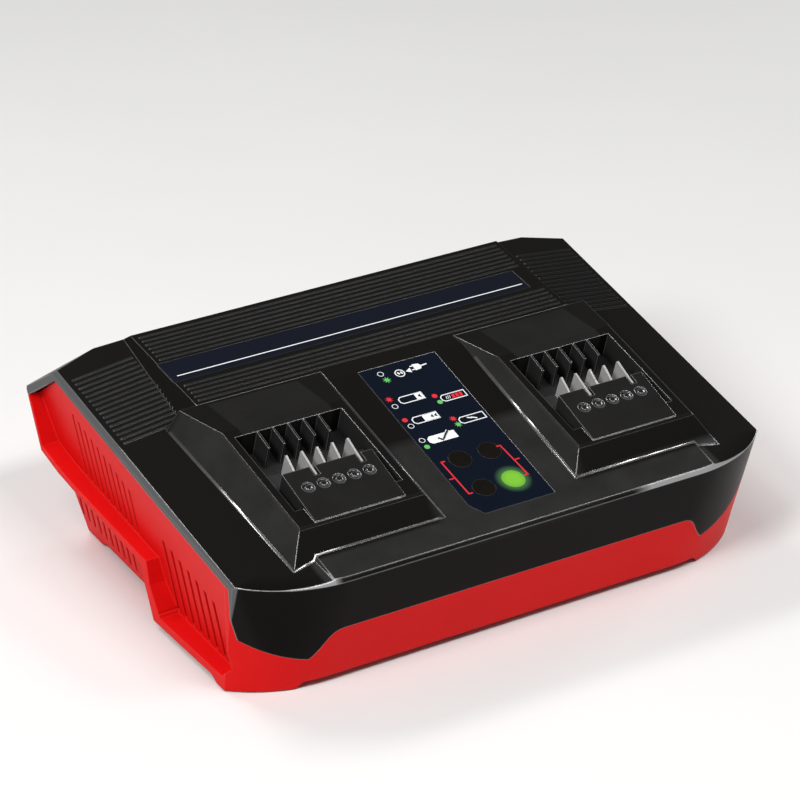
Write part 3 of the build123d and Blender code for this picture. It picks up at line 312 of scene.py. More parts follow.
def textured_places(tree, sideways):
    """Mask of the eroded faces: front strip, front middle, bay flanks and, fainter, bay tops."""
    facing_sideways = ramp(tree, math_node(tree, "ABSOLUTE", sideways), 0.30, 0.45)
    return largest(
        tree,
        zone_mask(tree, *FRONT_STRIP),
        zone_mask(tree, *FRONT_MIDDLE),
        product(tree, zone_mask(tree, *BAY_FLANKS), facing_sideways),
        product(tree, mirrored_mask(tree, *BAY_TOP), 0.45),
    )


def black_cover():
    """Black housing plastic: satin, greyer where the mould is eroded, with a pale side band that is painted
    light on its sideways faces.

    Its edges are painted lighter as a painted highlight, and the tilted faces of its front corners get a
    paler painted highlight."""
    material, tree, shader = new_material("black_cover")
    skin = use_group(tree, moulded_skin, {"Grain": 2400.0, "Waviness": 60.0})
    normal = node(tree, "ShaderNodeNewGeometry").outputs["True Normal"]
    sideways, _, upwards = node(tree, "ShaderNodeSeparateXYZ", {0: normal}).outputs
    textured = textured_places(tree, sideways)
    not_up = ramp(tree, upwards, 0.80, 0.60)
    # painted light: the sideways faces near each side are painted a pale grey band
    band = product(tree, not_up, mirrored_mask(tree, *LIT_SIDE_BAND))

    # colour of the faces
    mottled = ramp(tree, skin.outputs["Cloud"], 0.3, 0.7, 0.6, 1.0)
    # painted shade: the front skirt is painted a darker black than the rest of the cover
    plain = mix_colour(tree, zone_mask(tree, *SKIRT), COVER_BLACK, SKIRT_SHADE_BLACK)
    colour = mix_colour(tree, product(tree, textured, mottled), plain, TEXTURED_GREY)
    colour = mix_colour(tree, band, colour, SIDE_LIGHT_GREY)
    # painted glints: stray specks on the eroded faces are painted a light grey
    sparkle = product(tree, skin.outputs["Specks"], product(tree, textured, 0.35))
    colour = mix_colour(tree, sparkle, colour, SPECK_GLINT_GREY)
    roughness = mix_value(tree, textured, 0.34, 0.62)
    roughness = mix_value(tree, band, roughness, 0.60)

    # edges painted lighter as a painted highlight, rounder along the front crease and fainter on the fine
    # ribs;
    # the crease is masked without the group, because the radius also reaches the coat's normal
    crease = box_mask(tree, *box_size(*FRONT_CREASE))
    radius = mix_value(tree, crease, 0.7 * MM, 1.6 * MM)
    edge = finish_normal(tree, shader, skin.outputs["Height"], 0.25, 0.06 * MM, radius)
    edge = product(tree, edge, mix_value(tree, zone_mask(tree, *REAR_RIBS), 1.0, 0.25))
    tilted = ramp(tree, upwards, 0.36, 0.44)
    not_flat = ramp(tree, upwards, 0.68, 0.60)
    corner = largest(
        tree,
        zone_mask(tree, *LEFT_CORNER),
        zone_mask(tree, *RIGHT_CORNER),
        mirrored_mask(tree, *OUTER_CORNER),
    )
    corner_face = product(tree, product(tree, tilted, not_flat), corner)
    edge = largest(tree, edge, corner_face)
    # painted highlight: edges lighten towards a light grey, and the front corners' tilted faces towards a
    # paler grey
    edge_highlight_colour = mix_colour(tree, corner, EDGE_HIGHLIGHT_GREY, CORNER_HIGHLIGHT_GREY)
    fill(
        shader,
        {
            "Base Color": mix_colour(tree, product(tree, edge, 0.6), colour, edge_highlight_colour),
            "Roughness": mix_value(tree, edge, roughness, 0.16),
            "Specular IOR Level": 0.05,
        },
    )
    polish_edges(tree, shader, edge, radius)
    return material


# ================================================================ the other finishes
def red_tray():
    """Red housing plastic, satin, with a fine mould grain and its raised edges painted slightly paler as a
    painted highlight.
    """
    material, tree, shader = new_material("red_tray")
    skin = use_group(tree, moulded_skin, {"Grain": 1800.0, "Waviness": 25.0})
    colour = mix_colour(tree, skin.outputs["Cloud"], (0.61, 0.004, 0.005), (0.69, 0.007, 0.007))
    edge = finish_normal(tree, shader, skin.outputs["Height"], 0.18, 0.05 * MM, 0.7 * MM)
    # painted highlight: the edges are mixed towards a pale orange red
    fill(
        shader,
        {
            "Base Color": mix_colour(tree, product(tree, edge, 0.35), colour, (0.80, 0.06, 0.04)),
            "Roughness": mix_value(tree, edge, 0.42, 0.30),
            "Specular IOR Level": 0.07,
        },
    )
    return material


def glossy_film(name, dark, light, waviness, roughness):
    """Plastic film between two close tones of navy; gives its tree and shader too."""
    material, tree, shader = new_material(name)
    skin = use_group(tree, moulded_skin, {"Grain": 900.0, "Waviness": waviness})
    finish_normal(tree, shader, skin.outputs["Height"], 0.06, 0.02 * MM, 0.3 * MM)
    fill(
        shader,
        {
            "Base Color": mix_colour(tree, skin.outputs["Cloud"], dark, light),
            "Roughness": roughness,
            "Specular IOR Level": 0.15,
        },
    )
    return material, tree, shader


def from_lit_lamp(tree):
    """How far a spot lies from the middle of the lit lamp, metres."""
    middle = on_slope(LIT_LAMP, 0.0, STRIP_TILT)
    return vector_node(tree, "DISTANCE", object_coordinates(tree), middle).outputs["Value"]


def navy_film():
    """Printed film over the display strip, with the lit lamp's halo."""
    material, tree, shader = glossy_film(
        "navy_film", (0.0012, 0.0032, 0.0085), (0.0020, 0.0045, 0.0115), 30.0, 0.26
    )
    away = from_lit_lamp(tree)
    halo = ramp(tree, away, 5.0 * MM, 9.2 * MM, 1.0, 0.0, interpolation_type="SMOOTHSTEP")
    glow = mix_colour(tree, halo, grey(0), (0.055, 0.16, 0.045))
    fill(shader, {"Emission Color": glow, "Emission Strength": 1.0})
    return material


def bare_strip():
    """The long bare plate behind the bays: the same film, slightly paler and less glossy."""
    return glossy_film("bare_strip", (0.0020, 0.0035, 0.0085), (0.0035, 0.0050, 0.0110), 18.0, 0.30)[0]


def smoked_lamp():
    """Dark translucent lamp window with a faint warm painted highlight along its rim."""
    material, tree, shader = new_material("smoked_lamp")
    skin = use_group(tree, moulded_skin, {"Grain": 700.0, "Waviness": 80.0})
    colour = mix_colour(tree, skin.outputs["Cloud"], (0.0030, 0.0024, 0.0016), (0.0060, 0.0045, 0.0030))
    edge = finish_normal(tree, shader, skin.outputs["Height"], 0.05, 0.02 * MM, 0.5 * MM)
    # painted highlight: the rim is mixed towards a faint warm grey
    fill(
        shader,
        {
            "Base Color": mix_colour(tree, product(tree, edge, 0.5), colour, (0.05, 0.045, 0.04)),
            "Roughness": 0.28,
            "Specular IOR Level": 0.12,
        },
    )
    return material


def lit_lamp():
    """Green lamp window, lit from below: brighter in the middle than at its rim."""
    material, tree, shader = new_material("lit_lamp")
    rim = ramp(tree, from_lit_lamp(tree), 3.0 * MM, 5.6 * MM)
    fill(
        shader,
        {
            "Base Color": mix_colour(tree, rim, (0.05, 0.12, 0.01), (0.03, 0.08, 0.01)),
            "Emission Color": mix_colour(tree, rim, (0.150, 0.430, 0.024), (0.120, 0.350, 0.024)),
            "Emission Strength": 1.0,
            "Roughness": 0.35,
        },
    )
    return material


def plain_plastic(name, dark, light, roughness, grain=1800.0):
    """Moulded plastic between two close tones, a little smoother along its edges."""
    material, tree, shader = new_material(name)
    skin = use_group(tree, moulded_skin, {"Grain": grain, "Waviness": 70.0})
    edge = finish_normal(tree, shader, skin.outputs["Height"], 0.2, 0.05 * MM, 0.5 * MM)
    fill(
        shader,
        {
            "Base Color": mix_colour(tree, skin.outputs["Cloud"], dark, light),
            "Roughness": mix_value(tree, edge, roughness, roughness * 0.7),
        },
    )
    return material


def drawn_streaks(tree, stretch):
    """Fine streaks across the direction in which the coordinates are stretched."""
    place = node(tree, "ShaderNodeMapping", {"Vector": object_coordinates(tree), "Scale": stretch})
    return noise(tree, place.outputs[0], 400.0, 3.0)


def bare_metal(name, dark, light, roughness, stretch):
    """Bare metal with fine streaks in its tone and its gloss."""
    material, tree, shader = new_material(name)
    streaks = drawn_streaks(tree, stretch)
    finish_normal(tree, shader, streaks, 0.1, 0.03 * MM, 0.2 * MM)
    fill(
        shader,
        {
            "Base Color": mix_colour(tree, streaks, dark, light),
            "Roughness": ramp(tree, streaks, 0.3, 0.7, roughness * 0.8, roughness * 1.3),
            "Metallic": 1.0,
        },
    )
    return material


def tinned_sheet():
    """Matt tinned contact sheet: pale grey with fine streaks."""
    material, tree, shader = new_material("tinned_sheet")
    streaks = drawn_streaks(tree, (1, 6, 1))
    finish_normal(tree, shader, streaks, 0.1, 0.03 * MM, 0.3 * MM)
    fill(
        shader,
        {
            "Base Color": mix_colour(tree, streaks, (0.30, 0.295, 0.29), (0.56, 0.55, 0.54)),
            "Metallic": 0.25,
            "Roughness": 0.38,
        },
    )
    return material


def painted_highlight_fillet():
    """The bays' foot fillets: plastic painted a paler grey than the cover as a painted highlight, under a
    bright clear coat.
    """
    material, tree, shader = new_material("painted_highlight_fillet")
    skin = use_group(tree, moulded_skin, {"Grain": 2400.0, "Waviness": 60.0})
    fill(
        shader,
        {
            "Base Color": mix_colour(tree, skin.outputs["Cloud"], grey(0.020), grey(0.060)),
            "Roughness": 0.30,
            "Coat Weight": 1.0,
            "Coat Roughness": 0.20,
            "Coat IOR": 2.6,
        },
    )
    return material


def circuit_board():
    """Green lacquered board with paler tracks."""
    material, tree, shader = new_material("circuit_board")
    sockets = {"Vector": object_coordinates(tree), "Scale": 160.0}
    cells = node(tree, "ShaderNodeTexVoronoi", sockets, feature="DISTANCE_TO_EDGE")
    tracks = ramp(tree, cells.outputs["Distance"], 0.06, 0.10, 1.0, 0.0)
    finish_normal(tree, shader, tracks, 0.2, 0.03 * MM, 0.3 * MM)
    colour = mix_colour(tree, tracks, (0.004, 0.050, 0.016), (0.015, 0.120, 0.040))
    fill(shader, {"Base Color": colour, "Roughness": 0.35})
    return material


def ink(name, colour):
    """Screen-printed ink, very slightly uneven."""
    material, tree, shader = new_material(name)
    cloud = noise(tree, object_coordinates(tree), 600.0, 2.0)
    thin = tuple(0.82 * part for part in colour)
    fill(shader, {"Base Color": mix_colour(tree, cloud, thin, colour), "Roughness": 0.45})
    return material


# ================================================================ shapes of printed ink
def new_object(name, points, faces, material):
    """An object at the origin from points in metres and faces."""
    mesh = bpy.data.meshes.new(name)
    mesh.from_pydata(points.tolist(), [], faces)
    mesh.materials.append(material)
    made = bpy.data.objects.new(name, mesh)
    bpy.context.scene.collection.objects.link(made)
    return made


def slab(outer, inner, closed=True):
    """Flat slab between two rows of equal length, as (points, heights, faces).

    Each point appears at height 0 and at height 1. Faces join the outer row to the inner
    one on top and below, and stand as walls along both rows; the rows are closed loops,
    or else a wall closes the slab at either end. In walking along the rows, the outer one
    lies to the right."""
    n = len(outer)
    flat = np.concatenate((outer, inner, outer, inner))
    heights = np.repeat((0.0, 1.0), 2 * n)
    i = np.arange(n if closed else n - 1)
    j = (i + 1) % n
    top = np.stack((i + 2 * n, j + 2 * n, j + 3 * n, i + 3 * n), 1)
    bottom = np.stack((i, i + n, j + n, j), 1)
    outside = np.stack((i, j, j + 2 * n, i + 2 * n), 1)
    inside = np.stack((j + n, i + n, i + 3 * n, j + 3 * n), 1)
    walls = [top, bottom, outside, inside]
    if not closed:
        walls.append([(n, 0, 2 * n, 3 * n), (n - 1, 2 * n - 1, 4 * n - 1, 3 * n - 1)])
    return flat, heights, np.concatenate(walls)


def left_turning(points):
    """Corner points as a counter-clockwise loop; its area is half the sum of x dv - v dx."""
    corners = np.array(points, float)
    x, v = corners.T
    if np.sum(x * np.roll(v, -1) - np.roll(x, -1) * v) < 0:
        corners = corners[::-1]
    return corners


def unit_rows(rows):
    """Rows scaled to length 1."""
    return rows / np.linalg.norm(rows, axis=1)[:, None]


def filled(points):
    """Slab over a convex or star-shaped outline: its inner loop is the middle, shrunk to a hundredth."""
    outline = left_turning(points)
    middle = outline.mean(0)
    return slab(outline, middle + (outline - middle) * 0.01)


def outlined(points, width):
    """Slab along a closed outline: the inner loop is the outline moved in by the line width.

    Each corner moves along the mean of its two sides' normals, by the width divided by the
    cosine of the angle between that mean and a side's normal."""
    outline = left_turning(points)
    before = unit_rows(outline - np.roll(outline, 1, 0))
    after = unit_rows(np.roll(outline, -1, 0) - outline)
    mean = unit_rows(np.stack((-before[:, 1] - after[:, 1], before[:, 0] + after[:, 0]), 1))
    side_normal = np.stack((-before[:, 1], before[:, 0]), 1)
    reach = width / np.sum(mean * side_normal, 1)
    return slab(outline, outline + mean * reach[:, None])


def stroke(points, width):
    """Slab along an open path: its rows are the path moved by half the width to either side."""
    path = np.array(points, float)
    step = unit_rows(np.gradient(path, axis=0))
    side = np.stack((-step[:, 1], step[:, 0]), 1) * width / 2
    return slab(path - side, path + side, closed=False)


def circle(x, v, radius, count=28):
    """Points round a circle."""
    turn = np.linspace(0, 2 * np.pi, count, endpoint=False)
    return np.stack((x + radius * np.cos(turn), v + radius * np.sin(turn)), 1)


def star(x, v, radius, rays=8):
    """Star outline: the radius swings between its full size and 0.42 of it, once for each ray."""
    turn = np.linspace(0, 2 * np.pi, rays * 2, endpoint=False)
    reach = radius * np.where(np.arange(rays * 2) % 2, 0.42, 1.0)
    return np.stack((x + reach * np.cos(turn), v + reach * np.sin(turn)), 1)


def make_print(name, slabs, height, tilt, material):
    """One mesh from slabs of ink of one height, laid on a slope and riding on the housing."""
    points, faces, start = [], [], 0
    for flat, heights, quads in slabs:
        points.append(on_slope(flat, heights * height, tilt))
        faces.append(quads + start)
        start += len(flat)
    piece = new_object(name, np.concatenate(points), np.concatenate(faces).tolist(), material)
    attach(piece, "housing")


# ================================================================ symbols of the display plate
INK_HEIGHT = 0.05           # how far printed ink stands proud, millimetres
LINE = 0.50                 # line of the symbols
RING_LINE = 0.28            # line of the hollow rings
TALL_CELL, LOW_CELL = 4.8, 4.6      # heights of the battery symbols, left and right
CELL_BAR = 2.2              # half height of a battery's filling
CELL_NOSE = 1.4             # length of the nose at a battery's left end
NOSE_TIP = 0.45             # height of the nose's tip as a share of the battery's


def up_strip(y):
    """Distance up the display strip of a place given by its depth on the charger."""
    return (y - BREAK_Y) / math.cos(STRIP_TILT)


def ring(x, y, radius):
    """A hollow ring: the lamp is dark."""
    return outlined(circle(x, up_strip(y), radius), RING_LINE)


def dot(x, y, radius):
    """A full dot: the lamp is lit."""
    return filled(circle(x, up_strip(y), radius))


def flash(x, y, radius):
    """A star: the lamp flashes."""
    return filled(star(x, up_strip(y), radius))


def battery(x, v, length, height):
    """Outline of a battery: a box with a narrower nose at its left end."""
    half = height / 2
    return [
        (x + length, v - half),
        (x + length, v + half),
        (x + CELL_NOSE, v + half),
        (x, v + half * NOSE_TIP),
        (x, v - half * NOSE_TIP),
        (x + CELL_NOSE, v - half),
    ]


def bar(x_from, x_to, v):
    """Full-height filling of a battery between two places."""
    corners = [(x_from, v - CELL_BAR), (x_to, v - CELL_BAR), (x_to, v + CELL_BAR), (x_from, v + CELL_BAR)]
    return filled(corners)


def arrow(x, v, size):
    """Triangle pointing to the left, its tip at x."""
    return filled([(x, v), (x + size, v - 0.8 * size), (x + size, v + 0.8 * size)])


white, red, green, navy = [], [], [], []

# mains: hollow ring or flashing green, then socket, arrow and plug
white += [
    ring(-11.4, 3.1, 1.55),
    outlined(circle(-2.6, up_strip(0.6), 2.5), LINE),
    stroke([(-3.6, up_strip(1.4)), (-2.9, up_strip(0.0))], 0.8),
    stroke([(-1.9, up_strip(1.4)), (-1.4, up_strip(-0.1))], 0.8),
    filled([(0.7, up_strip(0.7)), (3.6, up_strip(2.2)), (3.2, up_strip(-0.8))]),
]
green += [flash(-10.7, -1.3, 2.2)]
v = up_strip(1.7)
plug_body = [(5.6, v - 2.0), (8.6, v - 1.7), (9.4, v - 0.5), (9.4, v + 0.6), (8.6, v + 1.8), (5.6, v + 2.1)]
white += [
    filled(plug_body),
    stroke([(4.0, v - 1.2), (5.8, v - 1.2)], 0.6),
    stroke([(4.0, v + 1.2), (5.8, v + 1.2)], 0.6),
    stroke([(9.2, v), (12.6, v + 0.3)], 0.7),
]

# charging: flashing red, hollow ring, nearly empty battery
v = up_strip(-15.4)
red += [flash(-16.9, -12.9, 2.1)]
white += [ring(-16.8, -17.7, 1.5), outlined(battery(-13.2, v, 12.9, TALL_CELL), LINE), bar(-4.4, -0.5, v)]
navy += [arrow(-3.3, v, 1.6)]

# gentle charging: red dot, hollow ring, half-full battery
v = up_strip(-28.9)
red += [dot(-17.5, -27.0, 1.35)]
white += [ring(-17.0, -31.3, 1.5), outlined(battery(-14.6, v, 13.6, TALL_CELL), LINE), bar(-8.8, -1.2, v)]
navy += [arrow(-5.2, v, 1.5), arrow(-3.3, v, 1.5)]

# charged: hollow ring, green dot, full battery with a tick
v = up_strip(-42.3)
tick = [(-9.7, v + 0.3), (-8.0, v - 1.7), (-7.2, v - 0.9), (-2.8, v + 3.2)]
white += [ring(-17.4, -41.0, 1.5), filled(battery(-14.8, v, 14.6, TALL_CELL)), stroke(tick, 1.5)]
green += [dot(-17.5, -45.3, 1.35)]
navy += [stroke(tick, 0.8)]

# waiting: red dot and green dot, battery with red bars and fine white hatching
v = up_strip(-20.8)
red += [dot(4.1, -18.0, 1.35)]
green += [dot(4.3, -22.3, 1.3)]
white += [outlined(battery(5.8, v, 13.2, LOW_CELL), LINE)]
white += [stroke([(x, v - 1.0), (x + 0.6, v + 1.0)], 0.25) for x in (8.4, 9.3, 10.2)]
for x in (11.4, 13.4, 15.4):
    red.append(filled([(x, v - 1.3), (x + 1.5, v - 1.3), (x + 1.9, v + 1.3), (x + 0.4, v + 1.3)]))

# fault: red and green flashing, struck battery
v = up_strip(-36.2)
strike = [(10.2, v + 1.0), (12.4, v - 0.1), (12.0, v + 0.6), (14.6, v - 1.0)]
red += [flash(3.8, -33.8, 2.0)]
green += [flash(4.0, -37.8, 2.0)]
white += [outlined(battery(5.6, v, 13.6, LOW_CELL), LINE), stroke(strike, 0.7)]

# brackets beside the two pairs of lamps: upper end, lower end, and the side that they open to
BRACKETS = (((-17.1, -56.1), (-16.4, -77.5), 1), ((14.2, -56.2), (15.7, -76.3), -1))
BRACKET_LINE, BRACKET_JOIN = 0.75, 0.37
for (x_top, y_top), (x_low, y_low), side in BRACKETS:
    v_top, v_low = up_strip(y_top), up_strip(y_low)
    x_middle, v_middle = (x_top + x_low) / 2, (v_top + v_low) / 2
    red += [
        stroke([(x_top + 2.0 * side, v_top), (x_top, v_top)], BRACKET_LINE),
        stroke([(x_top, v_top + BRACKET_JOIN), (x_low, v_low - BRACKET_JOIN)], BRACKET_LINE),
        stroke([(x_low, v_low), (x_low + 2.0 * side, v_low)], BRACKET_LINE),
        stroke([(x_middle, v_middle), (x_middle - 3.0 * side, v_middle)], 0.7),
    ]

white_ink = ink("white_ink", (0.80, 0.81, 0.82))
red_ink = ink("red_ink", (0.62, 0.018, 0.028))
green_ink = ink("green_ink", (0.10, 0.46, 0.10))
navy_ink = ink("navy_ink", (0.003, 0.005, 0.011))
make_print("print_white", white, INK_HEIGHT, STRIP_TILT, white_ink)
make_print("print_red", red, INK_HEIGHT, STRIP_TILT, red_ink)
make_print("print_green", green, INK_HEIGHT, STRIP_TILT, green_ink)
make_print("print_navy", navy, 2 * INK_HEIGHT, STRIP_TILT, navy_ink)

# the rule along the rear plate
RULE_Y = 38.5
v = (RULE_Y - BREAK_Y) / math.cos(REAR_TILT)
rule = [stroke([(-96.5, v), (90.0, v)], 0.55)]
make_print("print_rule", rule, INK_HEIGHT, REAR_TILT, white_ink)

# ================================================================ bay foot fillets
BAY_X = 72.5                        # middle of a bay
BAY_FRONT = (-78.5, 76.3)           # depth and height of its top front edge
BAY_SLOPE = 0.2309                  # rise of its top per mm of depth
BAY_HALF = 31.4                     # half width of its top
BAY_FLANK = 0.73                    # outward run of a flank per mm of drop
NOSE_RUN = 0.7083                   # forward run of the nose per mm of drop
WING_X, WING_Z = 140.0, 76.7        # outer end of a wing, level with y = 0
WING_TILT, WING_SLOPE = 0.123, 0.197        # its fall outwards and its rise towards the rear
SHOULDER_X = 100.0                  # upper edge of the 45 degree shoulder beside the middle
OUTER_END_Y, INNER_END_Y = 13.0, -2.0       # where a fillet ends behind
FILLET = 1.8                        # radius of the fillets
FILLET_SEAM = 0.05                  # how far the closed section reaches into the corner
ARC_POINTS = 9                      # points of a section's arc, and turns at a corner


def plane_of(normal, point):
    """A plane as (unit normal, distance along it), its normal pointing up or out."""
    unit = np.array(normal, float) / np.linalg.norm(normal)
    return unit, unit @ np.array(point, float)


def meet(*planes):
    """The point that three planes share: the solution of normal . point = distance for all."""
    normals, distances = zip(*planes)
    return np.linalg.solve(normals, distances)


def between(first, second, share):
    """Unit vectors turning evenly from the first to the second, one for each share.

    (sin((1 - share) angle) first + sin(share angle) second) / sin(angle)"""
    angle = np.arccos(np.clip(first @ second, -1, 1))
    share = np.asarray(share)[:, None]
    return (np.sin((1 - share) * angle) * first + np.sin(share * angle) * second) / np.sin(angle)


def halfway(first, second):
    """Unit vector halfway between two others."""
    return between(first, second, [0.5])[0]


def fillet_path(side):
    """Path of one bay's foot as rows (place, normal of the cover, normal of the bay).

    The places are where the cover's planes meet the bay's outer flank, nose and inner
    flank; at each corner of the bay the place stays and the bay's normal turns."""
    top = np.array((side * BAY_X, *BAY_FRONT))
    outer = plane_of((side, -BAY_FLANK * BAY_SLOPE, BAY_FLANK), top + (side * BAY_HALF, 0, 0))
    inner = plane_of((-side, -BAY_FLANK * BAY_SLOPE, BAY_FLANK), top - (side * BAY_HALF, 0, 0))
    nose = plane_of((0, -1, NOSE_RUN), top)
    wing = plane_of((side * WING_TILT, -WING_SLOPE, 1), (side * WING_X, 0, WING_Z))
    middle = plane_of((0, -STRIP_SLOPE, 1), (0, BREAK_Y, BREAK_Z))
    shoulder = plane_of((side, -STRIP_SLOPE, 1), (side * SHOULDER_X, BREAK_Y, BREAK_Z))
    outer_end = plane_of((0, 1, 0), (0, OUTER_END_Y, 0))
    inner_end = plane_of((0, 1, 0), (0, INNER_END_Y, 0))
    shares = np.linspace(0, 1, ARC_POINTS)
    outer_turns = between(outer[0], nose[0], shares)
    inner_turns = between(nose[0], inner[0], shares)
    return [
        (meet(wing, outer, outer_end), wing[0], outer[0]),
        *((meet(wing, outer, nose), wing[0], turn) for turn in outer_turns),
        (meet(wing, nose, shoulder), halfway(wing[0], shoulder[0]), nose[0]),
        (meet(shoulder, nose, middle), halfway(shoulder[0], middle[0]), nose[0]),
        *((meet(middle, nose, inner), middle[0], turn) for turn in inner_turns),
        (meet(middle, inner, inner_end), middle[0], inner[0]),
    ]


def fillet_surface(rows, turned):
    """Concave fillet along a path: points place + r (n1 + n2) / (1 + n1.n2) - r n(s).

    n(s) turns evenly from the cover's normal n1 to the bay's n2 as s runs from 0 to 1;
    the last point of each ring lies just inside the corner and closes the section."""
    shares = np.linspace(0, 1, ARC_POINTS)
    rings = []
    for place, cover_normal, bay_normal in rows:
        both = cover_normal + bay_normal
        centre = place + FILLET * both / (1 + cover_normal @ bay_normal)
        arc = centre - FILLET * between(cover_normal, bay_normal, shares)
        rings.append(np.vstack((arc, place - FILLET_SEAM * both)))
    points = np.array(rings)
    count, size = points.shape[:2]
    i, j = np.meshgrid(np.arange(count - 1), np.arange(size), indexing="ij")
    k = (j + 1) % size
    quads = np.stack((i * size + j, (i + 1) * size + j, (i + 1) * size + k, i * size + k), -1)
    first_end = list(range(size))
    last_end = list(range(count * size - 1, (count - 1) * size - 1, -1))
    faces = quads.reshape(-1, 4).tolist() + [first_end, last_end]
    if turned:
        faces = [face[::-1] for face in faces]
    return points.reshape(-1, 3) * MM, faces


def make_fillets():
    """The fillets of both bays as one piece, smooth-shaded but for its ends, riding on the housing."""
    points, faces = fillet_surface(fillet_path(-1), False)
    more_points, more_faces = fillet_surface(fillet_path(1), True)
    faces += [[corner + len(points) for corner in face] for face in more_faces]
    piece = new_object("bay_foot_fillets", np.vstack((points, more_points)), faces, painted_highlight_fillet())
    piece.data.polygons.foreach_set("use_smooth", np.array([len(face) == 4 for face in faces]))
    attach(piece, "housing")


make_fillets()

# ================================================================ finishes onto the CAD nodes
finishes = {
    "top_cover": black_cover(),
    "base_tray": red_tray(),
    "display_plate": navy_film(),
    "name_plate": bare_strip(),
    "lamp_windows": smoked_lamp(),
    "lamp_window_lit": lit_lamp(),
    "contact_blades_left": tinned_sheet(),
    "contact_carrier_left": plain_plastic("carrier_plastic", grey(0.006), grey(0.012), 0.55),
    "rubber_pads": plain_plastic("pad_rubber", grey(0.010), grey(0.020), 0.85, 900.0),
    "cord_gland": plain_plastic("gland_rubber", grey(0.008), grey(0.016), 0.70, 1200.0),
    "housing_screws": bare_metal("zinc_screws", (0.38, 0.38, 0.39), (0.62, 0.62, 0.63), 0.35, (1, 1, 1)),
    "main_board": circuit_board(),
    "transformer_core": plain_plastic("ferrite", (0.02, 0.02, 0.022), (0.05, 0.05, 0.055), 0.6, 700.0),
    "transformer_winding": plain_plastic("winding_tape", (0.55, 0.36, 0.03), (0.68, 0.46, 0.05), 0.45),
    "bulk_capacitors": plain_plastic("capacitor_sleeve", (0.010, 0.012, 0.035), (0.02, 0.022, 0.055), 0.3),
    "heat_sinks": bare_metal("extruded_aluminium", (0.50, 0.50, 0.51), (0.68, 0.68, 0.69), 0.4, (1, 1, 8)),
    "power_transistors": plain_plastic("moulded_case", grey(0.008), grey(0.020), 0.5),
    "mains_terminal": plain_plastic("terminal_block", (0.005, 0.09, 0.03), (0.01, 0.14, 0.05), 0.4),
    "fan_frame": plain_plastic("fan_plastic", grey(0.010), grey(0.022), 0.5),
}
same_finish = {
    "bay_left": "top_cover",
    "bay_right": "top_cover",
    "contact_blades_right": "contact_blades_left",
    "contact_carrier_right": "contact_carrier_left",
    "display_screws": "housing_screws",
    "board_screws": "housing_screws",
    "display_board": "main_board",
    "line_choke": "transformer_core",
    "output_capacitors": "bulk_capacitors",
    "relays": "power_transistors",
    "mains_fuse": "power_transistors",
    "fan_rotor": "fan_frame",
}
for name, cad_node in nodes.items():
    cad_node.data.materials.clear()
    cad_node.data.materials.append(finishes[same_finish.get(name, name)])


# ================================================================ floor, light and camera, metres
FLOOR_REACH = 6.0
AIM = Vector((0.0, 0.0, 0.05))      # the point that every lamp faces
LAMPS = {
    # name: (place, width and height, watts)
    "key": ((-1.3, -0.55, 1.25), (0.5, 0.5), 22.0),
    "crown": ((-0.38, 0.78, 1.35), (0.7, 0.25), 9.0),
    "brow": ((0.05, -0.80, 1.35), (0.6, 0.25), 9.0),
    "rim": ((1.55, 0.40, 0.35), (0.35, 0.5), 6.0),
    "crease": ((0.75, -0.80, 1.17), (0.3, 0.3), 4.0),
    "nose": ((-0.77, -0.35, 1.38), (0.25, 0.25), 3.0),
}
VIEW_AZIMUTH = 0.57713              # radians round to the left
VIEW_HEIGHT = 0.52289               # radians above the floor
VIEW_ROLL = 0.02761                 # radians about the camera's own axis
VIEW_DISTANCE = 1.68847
VIEW_AIM = Vector((0.0, 0.037, 0.0))
VIEW_SHIFT = (0.0538, 0.1325)
LENS, SENSOR = 161.29, 36.0         # millimetres


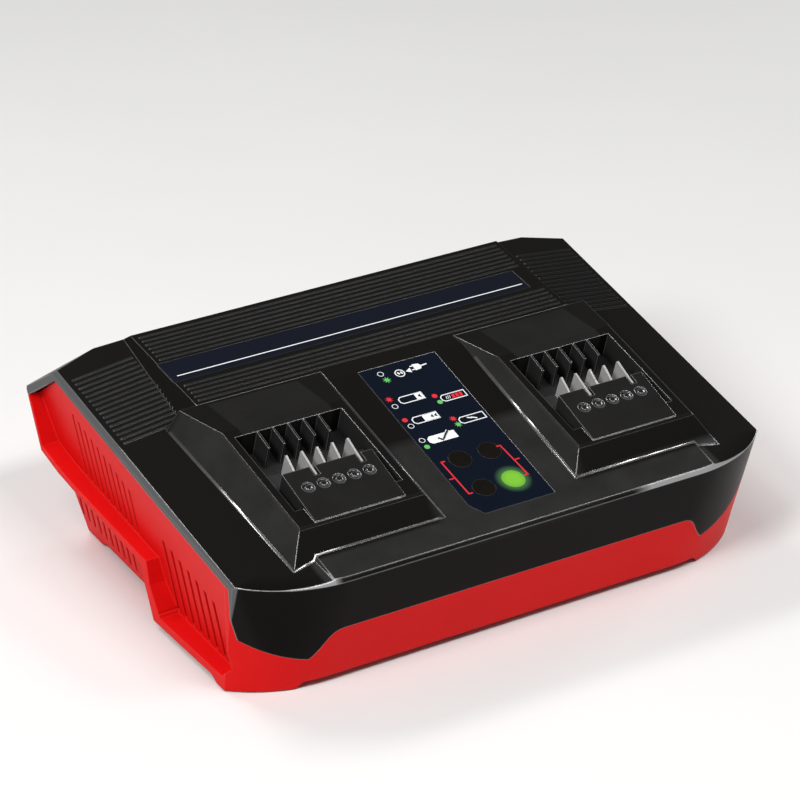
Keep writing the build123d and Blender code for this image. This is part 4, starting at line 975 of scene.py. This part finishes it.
def pale_floor():
    """Matt pale floor."""
    material, tree, shader = new_material("pale_floor")
    cloud = noise(tree, object_coordinates(tree), 6.0, 2.0)
    colour = mix_colour(tree, cloud, (0.66, 0.655, 0.645), (0.69, 0.685, 0.675))
    fill(shader, {"Base Color": colour, "Roughness": 0.9})
    return material


def soft_light(name, place, size, power):
    """Area lamp at a place, turned towards the charger."""
    lamp = bpy.data.lights.new(name, "AREA")
    lamp.shape = "RECTANGLE"
    lamp.size, lamp.size_y = size
    lamp.energy = power
    holder = bpy.data.objects.new(name, lamp)
    holder.location = place
    holder.rotation_mode = "QUATERNION"
    holder.rotation_quaternion = (AIM - Vector(place)).to_track_quat("-Z", "Y")
    bpy.context.scene.collection.objects.link(holder)


def view_matrix():
    """Place and turn of the camera: its axes are across, upright and backward."""
    ahead = math.cos(VIEW_HEIGHT)
    forward = Vector(
        (math.sin(VIEW_AZIMUTH) * ahead, math.cos(VIEW_AZIMUTH) * ahead, -math.sin(VIEW_HEIGHT))
    )
    right = Vector((math.cos(VIEW_AZIMUTH), -math.sin(VIEW_AZIMUTH), 0))
    up = right.cross(forward)
    c, s = math.cos(VIEW_ROLL), math.sin(VIEW_ROLL)
    turn = Matrix((right * c + up * s, up * c - right * s, -forward)).transposed()
    return Matrix.Translation(VIEW_AIM - forward * VIEW_DISTANCE) @ turn.to_4x4()


corners = np.array([(-1, -1, 0), (1, -1, 0), (1, 1, 0), (-1, 1, 0)]) * FLOOR_REACH
floor = new_object("floor", corners, [(0, 1, 2, 3)], pale_floor())

for name, (place, size, power) in LAMPS.items():
    soft_light(name, place, size, power)

world = bpy.data.worlds.new("studio")
bpy.context.scene.world = world
world.use_nodes = True
fill(world.node_tree.nodes["Background"], {"Color": (0.85, 0.86, 0.88, 1), "Strength": 0.22})

camera_data = bpy.data.cameras.new("camera")
camera_data.lens = LENS
camera_data.sensor_width = SENSOR
camera_data.shift_x, camera_data.shift_y = VIEW_SHIFT
camera_data.clip_start, camera_data.clip_end = 0.05, 50.0
camera = bpy.data.objects.new("camera", camera_data)
camera.matrix_world = view_matrix()
bpy.context.scene.collection.objects.link(camera)
bpy.context.scene.camera = camera
bpy.context.scene.view_settings.view_transform = "Standard"
